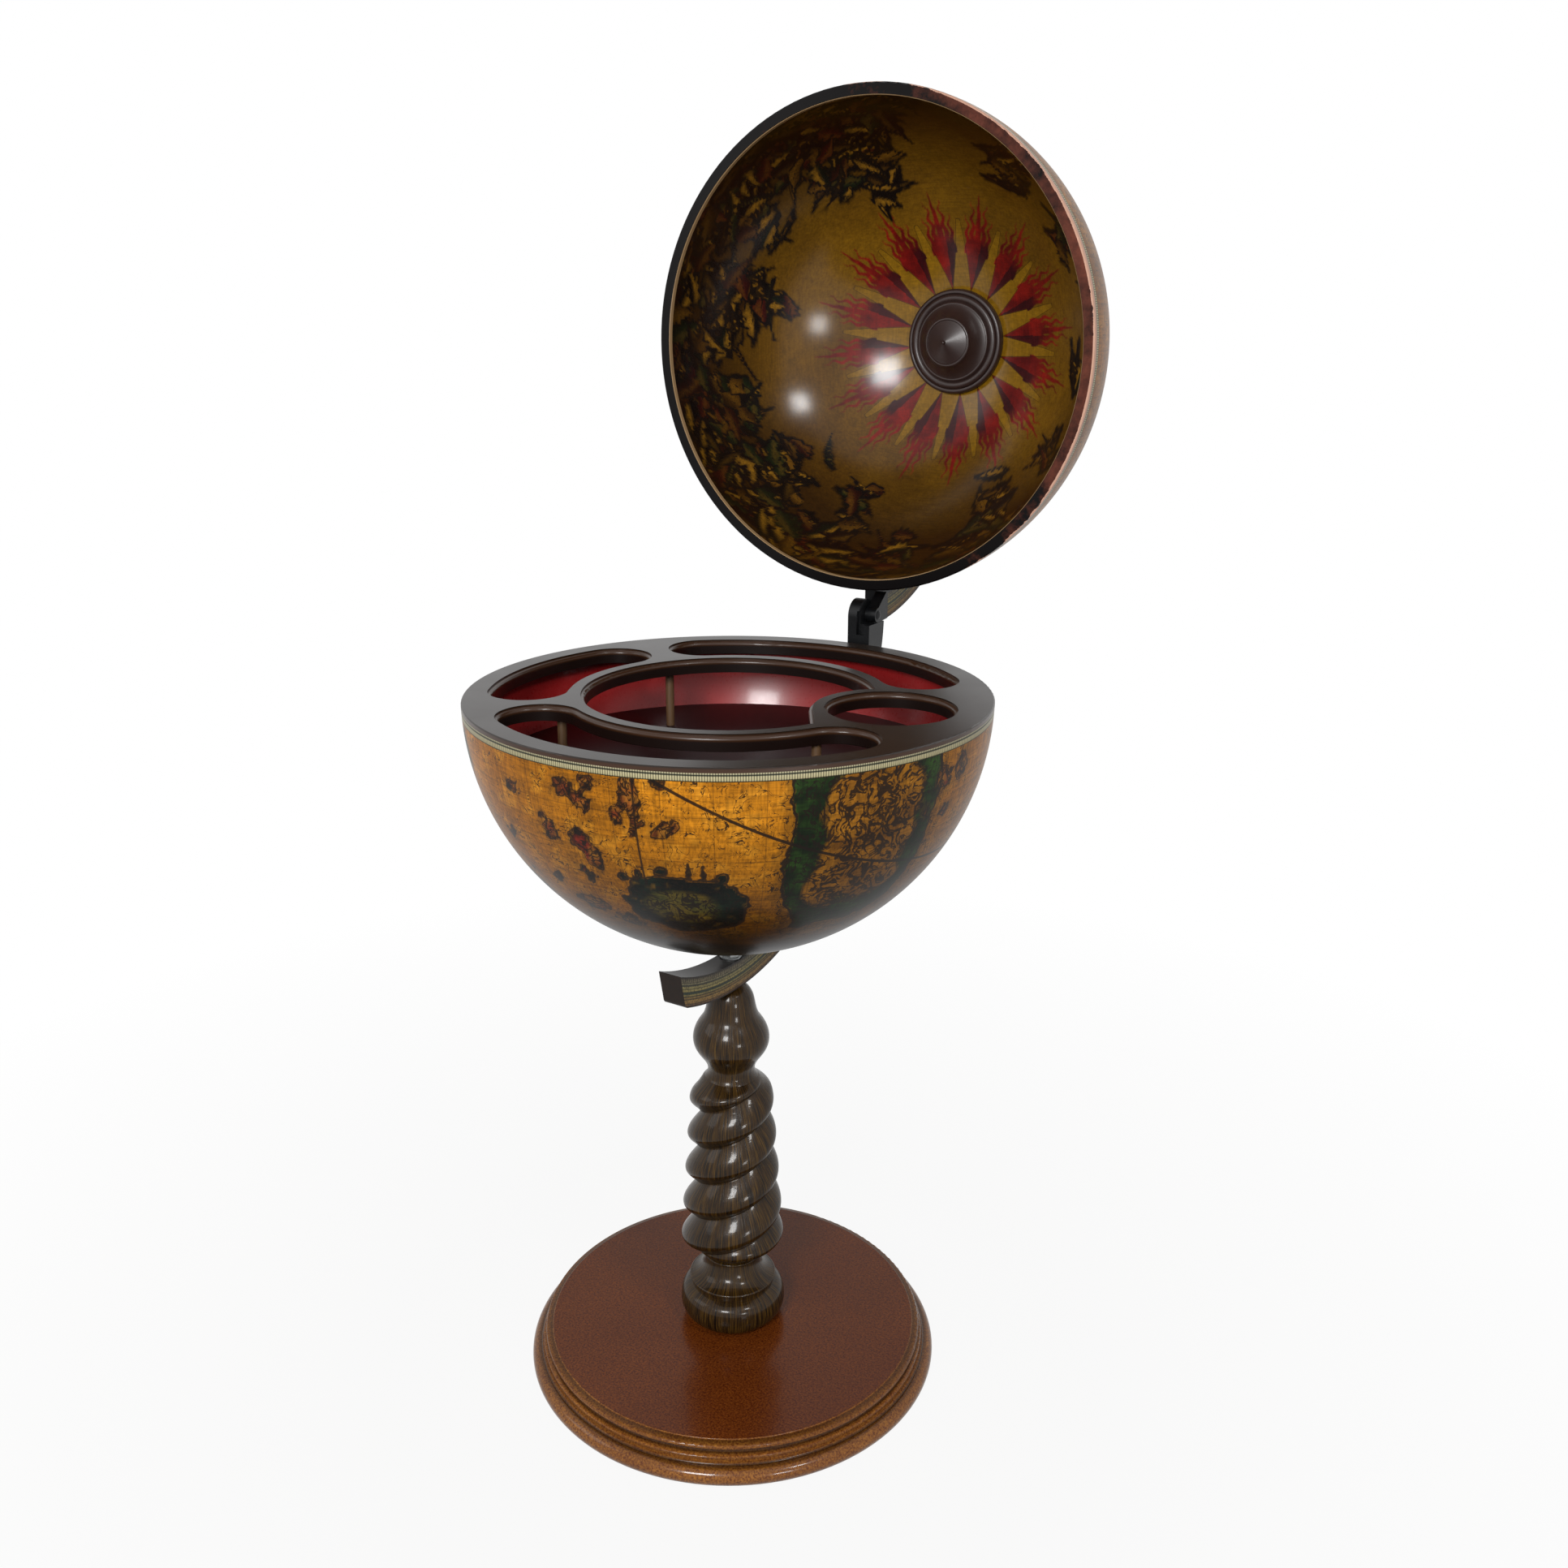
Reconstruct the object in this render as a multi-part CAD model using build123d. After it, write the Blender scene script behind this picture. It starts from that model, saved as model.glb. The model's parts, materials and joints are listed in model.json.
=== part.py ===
from build123d import *

import os
from math import acos, asin, atan2, cos, degrees, hypot, radians, sin, sqrt

# Pedestal globe bar.  A twist-turned column on a moulded round base carries a half meridian, a
# curved wooden arm behind the globe.  The lower half globe turns about its pole in that arm and is
# a bowl for bottles, with a tray of moulded openings.  A second half meridian is hinged to the
# first behind the rim and carries the upper half globe, the lid, which turns about its own pole.
# Millimetres, +Z up, +Y to the hinge.  The origin is the middle of the face the base stands on.
# The lid's pieces are built as if it were shut, then opened to the hinge's stop.

# ---------------------------------------------------------------- driving dimensions

# round base
base_radius = 173.4
base_thickness = 31.9
base_top_radius = 154.7
felt_radius = 165.0
felt_thickness = 1.5

# column, by its three turned lengths
plinth_length = 63.6
plinth_radius = 44.4
plinth_contact_radius = 32.5
plinth_torus_height = 15.5
plinth_shoulder_radius = 42.8
plinth_shoulder_height = 26.6
plinth_quirk_radius = 36.8
plinth_quirk_height = 32.8
plinth_quirk_depth = 1.6
plinth_lip_height = 37.2
plinth_neck_radius = 22.4
plinth_ring_radius = 24.4
plinth_ring_drop = 5.2
plinth_fillet = 0.8
twist_length = 165.5
twist_foot_radius = 44.8
twist_top_radius = 33.5
twist_groove_depth = 9.8
twist_groove_skew = 15.0
twist_lead = 65.5
twist_start_angle = 133.0
twist_foot_fade = 18.5
twist_head_fade = 13.0
twist_neck_radius = 23.4
head_length = 82.0
head_foot_radius = 22.0
head_neck_radius = 19.4
head_neck_height = 8.0
head_pear_radius = 31.3
head_pear_height = 34.5
head_cap_radius = 20.9
head_cap_height = 60.0
head_top_radius = 18.6
head_top_height = 71.0
head_seat_radius = 9.5
saddle_depth = 0.6

# globe
globe_radius = 200.0
shell_wall = 4.0
pole_flat_radius = 16.0
pole_block_radius = 38.0
pole_block_depth = 9.5
closing_gap = 0.3

# half meridians
meridian_width = 20.0
meridian_depth = 24.0
meridian_side_gap = 8.0
meridian_pole_gap = 20.0
meridian_end_angle_inside = 24.0
meridian_end_angle_outside = 19.8
meridian_corner_radius = 5.0

# hinge behind the rim
hinge_pin_setback = 17.0
hinge_pin_rise = 21.2
hinge_pin_radius = 2.5
hinge_pin_head_radius = 4.2
hinge_pin_head_height = 1.6
hinge_width = 21.0
hinge_knuckle_radius = 6.4
hinge_ear_radius = 14.0
hinge_reach = 17.5
hinge_notch_width = 7.0
hinge_notch_depth = 4.0
strap_length = 52.0
strap_thickness = 2.5
lid_opening = 89.0

# tray of bottle openings
tray_thickness = 12.0
tray_lip_thickness = 3.5
tray_edge_rounding = 1.0
bead_step = 1.5
bead_width = 3.0
bead_rounding = 2.6
pocket_width = 61.8
pocket_rim_width = 12.1
pocket_web_width = 9.4
left_pocket_bearings = (150.0, 223.0)
rear_pocket_end_bearing = 142.5
front_pocket_start_bearing = 228.0
bottle_hole_radius = 48.6
bottle_hole_bearing = 8.44
bottle_hole_rim_width = 17.4
bottle_ring_width = 8.2
bottle_ring_corner_bearing = -24.7
rear_pocket_hole_web = 10.8
front_pocket_hole_web = 12.8

# floor of the bowl and the posts that hang it from the tray
floor_depth = 59.0
floor_thickness = 6.0
post_radius = 3.5
post_tenon_radius = 2.5
post_tenon_length = 6.0
side_post_offset = 15.0
web_post_offset = 6.0
left_post_bearing = 146.0
front_post_bearing = 224.5
web_post_bearing = 334.0

# lid trim
rim_width = 9.5
rim_thickness = 4.5
rim_rounding = 1.2
boss_radius = 46.5
boss_height = 30.4
boss_disc_radius = 22.2
boss_hollow_radius = 14.0
boss_hollow_depth = 13.8

# pole spindles and fasteners
rod_radius = 4.0
washer_radius = 9.0
washer_thickness = 1.6
nut_across_flats = 13.0
nut_height = 6.5
bush_radius = 6.0
bush_flange_radius = 11.0
bush_flange_thickness = 2.0
glide_radius = 14.0
glide_thickness = 1.5
sleeve_radius = 9.0
spot_face_depth = 0.5
bolt_head_radius = 8.0
bolt_head_height = 4.5
base_washer_radius = 16.0
base_recess_radius = 20.0
base_recess_depth = 12.0
rod_end_stand_out = 2.0
strap_screw_radius = 2.0
strap_screw_head_radius = 3.8
strap_screw_length = 16.0
strap_screw_pitch = 18.0
post_screw_length = 22.0

# clearances
running_clearance = 0.05
bore_clearance = 0.2
face_clearance = 0.3
saddle_clearance = 0.1

# ---------------------------------------------------------------- places worked out from them

base_top = felt_thickness + base_thickness
column_seat = base_top + plinth_length + twist_length + head_length
meridian_inside = globe_radius + meridian_side_gap
meridian_outside = meridian_inside + meridian_depth
meridian_centre = column_seat + meridian_outside
bowl_centre = meridian_centre - meridian_inside + meridian_pole_gap + globe_radius
lid_centre = bowl_centre + closing_gap
upper_meridian_centre = lid_centre + (bowl_centre - meridian_centre)
shell_inside = globe_radius - shell_wall
tray_plug_radius = sqrt(shell_inside**2 - tray_thickness**2) - face_clearance
pocket_outer_radius = tray_plug_radius - pocket_rim_width
pocket_inner_radius = pocket_outer_radius - pocket_width
pocket_middle_radius = (pocket_inner_radius + pocket_outer_radius) / 2
well_radius = pocket_inner_radius - pocket_web_width
bottle_hole_distance = tray_plug_radius - bottle_hole_rim_width - bottle_hole_radius
bottle_hole_x = bottle_hole_distance * cos(radians(bottle_hole_bearing))
bottle_hole_y = bottle_hole_distance * sin(radians(bottle_hole_bearing))
bottle_ring_radius = bottle_hole_radius + bottle_ring_width
post_places = [(well_radius + side_post_offset, left_post_bearing),
               (well_radius + side_post_offset, front_post_bearing),
               (well_radius + web_post_offset, web_post_bearing)]
pole_flat_height = sqrt(globe_radius**2 - pole_flat_radius**2)
pole_block_face = shell_inside - pole_block_depth
hinge_y = meridian_inside + hinge_pin_setback
hinge_z = bowl_centre + hinge_pin_rise
hinge_shoulder = hinge_z - hinge_knuckle_radius - face_clearance
hinge_axis = Axis((0, hinge_y, hinge_z), (1, 0, 0))
rod_bore_radius = rod_radius + bore_clearance
rod_running_radius = rod_radius + running_clearance


# ---------------------------------------------------------------- shared operations


def between(low, high, share):
    """The value a share of the way from low to high."""
    return low + (high - low) * share


def turned(*edges):
    """A solid turned about the upright axis from edges drawn as radius, height."""
    return revolve(Plane.XZ * make_face(edges), Axis.Z)


def outline(*points):
    """Straight edges through the points."""
    return Polyline(*points).edges()


def tube(radius, bore, low, high):
    """A plain ring, washer or sleeve between two heights."""
    return Pos(0, 0, low) * extrude(Circle(radius) - Circle(bore), high - low)


def rod(radius, low, high):
    """A plain round bar between two heights."""
    return Pos(0, 0, low) * extrude(Circle(radius), high - low)


def dome_arc(radius, base, rise):
    """Arc of a shallow dome about the upright axis, from its edge up or down to its crown."""
    height = abs(rise)
    ball = (radius**2 + height**2) / (2 * height)
    half_angle = asin(radius / ball) / 2
    up = rise / height
    middle = (ball * sin(half_angle), base + up * (height - ball * (1 - cos(half_angle))))
    return ThreePointArc((radius, base), middle, (0, base + rise))


def slab(face, left, right):
    """A side view drawn as Y, Z and given its thickness along X."""
    return extrude(Plane.YZ.offset(left) * face, right - left)


def shut_to_open(shape):
    """Turn a piece of the lid from the shut place to the open stop."""
    return shape.rotate(hinge_axis, -lid_opening)


def about_equator(shape, low_plane, high_plane):
    """The upper twin of a lower piece: mirrored between the two equator planes."""
    return Pos(0, 0, low_plane + high_plane) * mirror(shape, Plane.XY)


def hex_nut(low):
    """A plain hexagon nut with its corners turned off."""
    corner_radius = nut_across_flats / 2 / cos(radians(30))
    body = Pos(0, 0, low) * extrude(RegularPolygon(corner_radius, 6), nut_height)
    bevel = 0.6
    blank = turned(*outline((0, low), (corner_radius - bevel, low), (corner_radius, low + bevel),
                            (corner_radius, low + nut_height - bevel),
                            (corner_radius - bevel, low + nut_height), (0, low + nut_height),
                            (0, low)))
    return (body & blank) - rod(rod_running_radius, low, low + nut_height)


# ---------------------------------------------------------------- stand: base and column


def base_disc():
    """Moulded round base: bullnose, two fillets, a groove and a raised top panel."""
    bottom = felt_thickness
    top = base_top
    nose_top = bottom + 14.7
    nose_middle = bottom + 6.9
    nose_inner = base_radius - 7.8
    step_radius = base_radius - 10.0
    groove_radius = base_radius - 13.2
    ledge_radius = base_radius - 12.2
    profile = [
        *outline((0, bottom), (base_radius - 5.6, bottom)),
        ThreePointArc((base_radius - 5.6, bottom), (base_radius, nose_middle),
                      (nose_inner, nose_top)),
        *outline((nose_inner, nose_top), (nose_inner, nose_top + 1.3)),
        ThreePointArc((nose_inner, nose_top + 1.3), (nose_inner - 0.7, nose_top + 2.3),
                      (step_radius, nose_top + 2.8)),
        *outline((step_radius, nose_top + 2.8), (step_radius, top - 10.9)),
        ThreePointArc((step_radius, top - 10.9), (step_radius - 0.3, top - 10.2),
                      (step_radius - 1.0, top - 9.9)),
        *outline((step_radius - 1.0, top - 9.9), (groove_radius, top - 9.4),
                 (groove_radius, top - 5.2), (ledge_radius, top - 4.8),
                 (ledge_radius, top - 3.2)),
        ThreePointArc((ledge_radius, top - 3.2), (ledge_radius - 0.4, top - 2.3),
                      (ledge_radius - 1.4, top - 1.9)),
        *outline((ledge_radius - 1.4, top - 1.9), (base_top_radius + 0.9, top - 0.9)),
        ThreePointArc((base_top_radius + 0.9, top - 0.9), (base_top_radius + 0.5, top - 0.2),
                      (base_top_radius, top)),
        *outline((base_top_radius, top), (0, top), (0, bottom)),
    ]
    recess = rod(base_recess_radius, bottom, bottom + base_recess_depth)
    return turned(*profile) - recess - rod(rod_bore_radius, bottom, top)


def base_felt():
    """Felt disc glued under the base, over the nut's recess."""
    return rod(felt_radius, 0, felt_thickness)


def column_plinth():
    """Foot of the column: a torus, a quirk, a bell with a thin lip, and a necking ring."""
    low = base_top
    high = base_top + plinth_length
    torus = low + plinth_torus_height
    shoulder = low + plinth_shoulder_height
    quirk = low + plinth_quirk_height
    lip = low + plinth_lip_height
    ring = high - plinth_ring_drop
    step = plinth_fillet
    groove = plinth_quirk_radius - plinth_quirk_depth
    brim = plinth_quirk_radius - 2 * step
    neck = plinth_neck_radius
    return turned(
        *outline((0, low), (plinth_contact_radius, low)),
        Spline((plinth_contact_radius, low),
               (between(plinth_contact_radius, plinth_radius, 0.42), between(low, torus, 0.19)),
               (between(plinth_contact_radius, plinth_radius, 0.76), between(low, torus, 0.46)),
               (plinth_radius, torus),
               (between(plinth_radius, plinth_shoulder_radius, 0.2), between(torus, shoulder, 0.55)),
               (plinth_shoulder_radius, shoulder),
               (between(plinth_shoulder_radius, plinth_quirk_radius, 0.42),
                between(shoulder, quirk - step, 0.60)),
               (plinth_quirk_radius, quirk - step)),
        *outline((plinth_quirk_radius, quirk - step), (groove, quirk), (groove, lip)),
        ThreePointArc((groove, lip), (plinth_quirk_radius, lip + 1.5 * step),
                      (brim, lip + 3.4 * step)),
        Spline((brim, lip + 3.4 * step),
               (between(neck, brim, 0.60), between(lip, ring, 0.25)),
               (between(neck, brim, 0.27), between(lip, ring, 0.45)),
               (between(neck, brim, 0.08), between(lip, ring, 0.70)),
               (neck, ring)),
        *outline((neck, ring), (plinth_ring_radius - step, ring + step)),
        ThreePointArc((plinth_ring_radius - step, ring + step),
                      (plinth_ring_radius, ring + 2.2 * step),
                      (plinth_ring_radius - step, ring + 3.4 * step)),
        *outline((plinth_ring_radius - step, ring + 3.4 * step), (neck, ring + 4.4 * step),
                 (neck, high), (0, high), (0, low)),
    )


def column_head():
    """Top of the column: a neck, a pear that sweeps into a cap, and the cap's domed end."""
    low = base_top + plinth_length + twist_length
    neck = low + head_neck_height
    pear = low + head_pear_height
    cap = low + head_cap_height
    top = low + head_top_height
    crown = column_seat + saddle_depth
    return turned(
        *outline((0, low), (head_foot_radius, low)),
        Spline((head_foot_radius, low), (head_neck_radius, neck),
               (between(head_neck_radius, head_pear_radius, 0.27), between(neck, pear, 0.31)),
               (between(head_neck_radius, head_pear_radius, 0.57), between(neck, pear, 0.50)),
               (between(head_neck_radius, head_pear_radius, 0.865), between(neck, pear, 0.72)),
               (head_pear_radius, pear),
               (between(head_pear_radius, head_cap_radius, 0.24), between(pear, cap, 0.41)),
               (between(head_pear_radius, head_cap_radius, 0.53), between(pear, cap, 0.61)),
               (between(head_pear_radius, head_cap_radius, 0.785), between(pear, cap, 0.765)),
               (head_cap_radius, cap),
               (between(head_cap_radius, head_top_radius, 0.5), between(cap, top, 0.5)),
               (head_top_radius, top),
               (between(head_seat_radius, head_top_radius, 0.68), between(top, crown, 0.55)),
               (head_seat_radius, crown)),
        *outline((head_seat_radius, crown), (0, crown), (0, low)),
    )


def twist_section(height):
    """Plan of the twist at a height above its foot: two rounded ropes that meet in sharp grooves.

    The radius falls from the rope's crest by the groove depth times 1 - |cos a|**1.1, where a is
    the angle from the crest.  Each point then turns back by the groove's skew times sin(a)**2, so
    a groove lies close under the rope above it.  Ropes and grooves swell from the necks over the
    fades at the two ends.
    """
    share = height / twist_length
    from_end = min(height / twist_foot_fade, (twist_length - height) / twist_head_fade)
    swell = sin(radians(90 * min(1.0, max(0.0, from_end))))
    necks = between(twist_neck_radius - plinth_fillet, head_foot_radius - plinth_fillet, share)
    full = between(twist_foot_radius, twist_top_radius, share)
    crest = necks + (full - necks) * swell
    groove = twist_groove_depth * swell**2
    turn = twist_start_angle + 360 * height / twist_lead
    level = base_top + plinth_length + height
    rope_edges = []
    for rope in range(2):
        points = []
        for step in range(9):
            angle = 180 * rope - 90 + 22.5 * step
            radius = crest - groove * (1 - abs(cos(radians(angle))) ** 1.1)
            back = twist_groove_skew * sin(radians(angle)) ** 2
            points.append(Vector(radius, 0, level).rotate(Axis.Z, turn + angle - back))
        rope_edges.append(Spline(points))
    return Wire(rope_edges)


def column_twist():
    """Double-start twist, lofted through plans turned by the lead."""
    steps = round(twist_length / twist_lead * 16)
    heights = [twist_length * step / steps for step in range(steps + 1)]
    return Solid.make_loft([twist_section(height) for height in heights])


def meridian_saddle_cutter():
    """The space that the meridian needs in the column's head."""
    half = meridian_width / 2 + saddle_clearance
    disc = Pos(0, meridian_centre) * Circle(meridian_outside)
    return slab(disc, -half, half)


def column():
    """The whole turned column, bored for the rod and notched for the meridian."""
    body = column_plinth() + column_twist() + column_head()
    body -= rod(rod_bore_radius, base_top, column_seat + saddle_depth)
    return body - meridian_saddle_cutter()


# ---------------------------------------------------------------- half meridians and hinge


def meridian_face(rear_top):
    """Side view of a half meridian about its own centre, from its cut end in front of the pole
    round to a level cut behind."""
    inside = (-meridian_inside * sin(radians(meridian_end_angle_inside)),
              -meridian_inside * cos(radians(meridian_end_angle_inside)))
    outside = (-meridian_outside * sin(radians(meridian_end_angle_outside)),
               -meridian_outside * cos(radians(meridian_end_angle_outside)))
    slope = (inside[0] - outside[0]) / (inside[1] - outside[1])
    far = 2 * meridian_outside
    keep = Polygon((inside[0] + slope * (rear_top - inside[1]), rear_top),
                   (inside[0] - slope * (far + inside[1]), -far), (far, -far), (far, rear_top),
                   align=None)
    return (Circle(meridian_outside) - Circle(meridian_inside)) & keep


def strap_angle(distance):
    """Degrees round the meridian for a distance along its inner face."""
    return degrees(distance / meridian_inside)


def strap_face(rear_top):
    """Side view of the hinge strap that is let into the meridian's inner face."""
    top_angle = degrees(asin(rear_top / meridian_inside))
    low_angle = top_angle - strap_angle(strap_length)
    far = 1.2 * meridian_outside
    wedge = Polygon((0, 0), (far * cos(radians(low_angle)), far * sin(radians(low_angle))),
                    (far, rear_top), (far * cos(radians(top_angle)), rear_top), align=None)
    level = Polygon((0, -far), (far, -far), (far, rear_top), (0, rear_top), align=None)
    ring = Circle(meridian_inside + strap_thickness) - Circle(meridian_inside)
    return ring & wedge & level


def strap_screw_locations(rear_top):
    """Places of the strap screws about the meridian's centre, pointing out through the strap."""
    top_angle = degrees(asin(rear_top / meridian_inside))
    places = []
    for index in range(2):
        angle = top_angle - strap_angle(strap_length / 2 + (index - 0.5) * strap_screw_pitch)
        places.append(Rot(angle, 0, 0) * Pos(0, meridian_inside, 0) * Rot(-90, 0, 0))
    return places


def countersunk_screw(extra):
    """A countersunk screw with its flat head at the origin, pointing along +Z."""
    cone = strap_screw_head_radius - strap_screw_radius
    radius = strap_screw_radius + extra
    head = strap_screw_head_radius + extra
    tip = strap_screw_length + extra
    return turned(*outline((0, 0), (head, 0), (radius, cone), (radius, tip - 3.0),
                           (0, tip), (0, 0)))


def strap_screws(rear_top, extra=0.0):
    """The two screws of a strap about the meridian's centre."""
    return [place * countersunk_screw(extra) for place in strap_screw_locations(rear_top)]


def half_meridian(rear_top):
    """A bent wooden half meridian about its own centre, with its pole at the bottom."""
    half = meridian_width / 2
    body = slab(meridian_face(rear_top), -half, half)
    end_edge = body.edges().filter_by(Axis.X).sort_by(Axis.Y)[:2].sort_by(Axis.Z)[0]
    body = fillet(end_edge, meridian_corner_radius)
    body -= slab(strap_face(rear_top), -half, half)
    for screw in strap_screws(rear_top, running_clearance):
        body -= screw
    pole = -meridian_inside
    body -= rod(rod_bore_radius, -meridian_outside - 1, pole + 1)
    return body - rod(washer_radius + 1, pole - spot_face_depth, pole + 1)


def strap(rear_top):
    """Hinge strap about the meridian's centre, drilled and countersunk."""
    half = meridian_width / 2
    body = slab(strap_face(rear_top), -half, half)
    for screw in strap_screws(rear_top, running_clearance):
        body -= screw
    return body


def lower_meridian():
    return Pos(0, 0, meridian_centre) * half_meridian(0)


def hinge_bracket():
    """Fixed hinge half: a block on the meridian's end, one ear for the pin and the strap."""
    half = hinge_width / 2
    front = meridian_inside
    low = meridian_centre
    ear_y = front + hinge_ear_radius
    ear_z = hinge_z - 0.2
    rear_top = ear_y + hinge_ear_radius
    block_face = make_face([
        *outline((meridian_outside, low), (front, low), (front, hinge_shoulder),
                 (rear_top, hinge_shoulder)),
        ThreePointArc((rear_top, hinge_shoulder),
                      (rear_top - 0.8, (low + hinge_shoulder) / 2 + 4), (meridian_outside, low)),
    ])
    ear_face = Pos(ear_y, ear_z) * Circle(hinge_ear_radius)
    ear_face += Polygon((front, hinge_shoulder - 4), (rear_top, hinge_shoulder - 4),
                        (rear_top, ear_z), (front, ear_z), align=None)
    body = slab(block_face, -half, half) + slab(ear_face, -half, -face_clearance / 2)
    notch_face = Polygon((front - 1, hinge_shoulder - 9), (front + hinge_notch_depth, hinge_shoulder - 9),
                         (front + hinge_notch_depth, hinge_z + 5), (front - 1, hinge_z + 5), align=None)
    notch_left = -2.0
    body -= slab(notch_face, notch_left, notch_left + hinge_notch_width)
    body += Pos(0, 0, meridian_centre) * strap(0)
    pin_hole = Pos(hinge_y, hinge_z) * Circle(hinge_pin_radius + running_clearance)
    return body - slab(pin_hole, -half, half)


def bracket_screws():
    return [Pos(0, 0, meridian_centre) * screw for screw in strap_screws(0)]


def hinge_pin():
    """Pin with a low domed head at each end."""
    half = hinge_width / 2 + face_clearance / 2
    pin = slab(Circle(hinge_pin_radius), -half, half)
    head = turned(Line((0, half), (hinge_pin_head_radius, half)),
                  dome_arc(hinge_pin_head_radius, half, hinge_pin_head_height),
                  Line((0, half + hinge_pin_head_height), (0, half)))
    pin = pin + Rot(0, 90, 0) * head + Rot(0, -90, 0) * head
    return Pos(0, hinge_y, hinge_z) * pin


# ---------------------------------------------------------------- pole spindle of the bowl


def stack_heights():
    """Levels of the pieces between a meridian and its half globe, from the meridian upwards."""
    face = meridian_centre - meridian_inside - spot_face_depth
    washer_top = face + washer_thickness
    nut_top = washer_top + nut_height
    flat = bowl_centre - pole_flat_height
    glide_top = flat - face_clearance
    glide_low = glide_top - glide_thickness
    bush_top = bowl_centre - pole_block_face + bush_flange_thickness
    lock_low = bush_top + face_clearance
    lock_high = lock_low + washer_thickness
    return face, washer_top, nut_top, glide_low, glide_top, flat, bush_top, lock_low, lock_high


face_low, clamp_washer_top, clamp_nut_top, glide_low, glide_top, pole_flat, bush_top, \
    lock_washer_low, lock_washer_top = stack_heights()
rod_top = lock_washer_top + nut_height + rod_end_stand_out
base_recess_top = felt_thickness + base_recess_depth


def tie_rod():
    """Threaded rod that clamps base, column and meridian, and is the bowl's spindle."""
    low = base_recess_top - washer_thickness - nut_height - rod_end_stand_out
    return chamfer(rod(rod_radius, low, rod_top).edges(), 0.5)


def base_washer():
    return tube(base_washer_radius, rod_bore_radius, base_recess_top - washer_thickness,
                base_recess_top)


def base_nut():
    return hex_nut(base_recess_top - washer_thickness - nut_height)


def clamp_washer():
    return tube(washer_radius, rod_bore_radius, face_low, clamp_washer_top)


def clamp_nut():
    return hex_nut(clamp_washer_top)


def pole_sleeve():
    """Spacer sleeve on the clamp nut."""
    return tube(sleeve_radius, rod_bore_radius, clamp_nut_top, glide_low)


def glide_washer():
    return tube(glide_radius, rod_bore_radius, glide_low, glide_top)


def lock_washer():
    return tube(washer_radius, rod_bore_radius, lock_washer_low, lock_washer_top)


def lock_nut():
    return hex_nut(lock_washer_top)


# ---------------------------------------------------------------- bowl


def half_shell(edge):
    """Lower half globe about its centre, cut level at its edge and flat at its pole."""
    outer_top = sqrt(globe_radius**2 - edge**2)
    inner_top = sqrt(shell_inside**2 - edge**2)
    mid_outer = (globe_radius * sin(radians(40)), -globe_radius * cos(radians(40)))
    mid_inner = (shell_inside * sin(radians(40)), -shell_inside * cos(radians(40)))
    return turned(
        Line((0, -pole_flat_height), (pole_flat_radius, -pole_flat_height)),
        ThreePointArc((pole_flat_radius, -pole_flat_height), mid_outer, (outer_top, -edge)),
        Line((outer_top, -edge), (inner_top, -edge)),
        ThreePointArc((inner_top, -edge), mid_inner, (0, -shell_inside)),
        Line((0, -shell_inside), (0, -pole_flat_height)),
    )


def bored_shell(edge):
    """Half globe with the hole for its bush."""
    return half_shell(edge) - rod(bush_radius + running_clearance, -globe_radius, -shell_inside + 1)


def bowl_shell():
    return Pos(0, 0, bowl_centre) * bored_shell(tray_lip_thickness)


def pole_block(centre):
    """Wooden block glued into the pole, shaped to the shell."""
    body = rod(pole_block_radius, centre - shell_inside, centre - pole_block_face)
    body = body & (Pos(0, 0, centre) * Sphere(shell_inside))
    return body - rod(bush_radius + running_clearance, centre - globe_radius, centre)


def bowl_pole_block():
    return pole_block(bowl_centre)


def bowl_bush():
    """Flanged bush through shell and block; it turns on the rod."""
    bush = tube(bush_radius, rod_running_radius, pole_flat, bush_top)
    flange_low = bush_top - bush_flange_thickness
    return bush + tube(bush_flange_radius, rod_running_radius, flange_low, bush_top)


def bottle_ring_face():
    """Plan of the ring round the bottle hole where it bites into the well, with the straight
    run-out to its front corner on the well's edge."""
    corner_x = well_radius * cos(radians(bottle_ring_corner_bearing))
    corner_y = well_radius * sin(radians(bottle_ring_corner_bearing))
    away_x = corner_x - bottle_hole_x
    away_y = corner_y - bottle_hole_y
    distance = hypot(away_x, away_y)
    tangent_bearing = degrees(atan2(away_y, away_x)) - degrees(
        asin(sqrt(distance**2 - bottle_ring_radius**2) / distance))
    tangent = (bottle_hole_x + bottle_ring_radius * cos(radians(tangent_bearing)),
               bottle_hole_y + bottle_ring_radius * sin(radians(tangent_bearing)))
    beyond = (2 * corner_x - tangent[0], 2 * corner_y - tangent[1])
    wedge = Polygon(tangent, beyond, (bottle_hole_x + well_radius, beyond[1]),
                    (bottle_hole_x, bottle_hole_y), align=None)
    return Pos(bottle_hole_x, bottle_hole_y) * Circle(bottle_ring_radius) + wedge


def cap_beside_hole(web):
    """Degrees from the bottle hole's bearing to the middle of a pocket's round end, for a width
    of wood between them."""
    apart = bottle_hole_radius + web + pocket_width / 2
    return degrees(acos((bottle_hole_distance**2 + pocket_middle_radius**2 - apart**2)
                        / (2 * bottle_hole_distance * pocket_middle_radius)))


def pocket_face(start, end):
    """Plan of a kidney pocket between the bearings of the middles of its round ends."""
    return SlotArc(CenterArc((0, 0), pocket_middle_radius, start, end - start), pocket_width)


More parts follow.
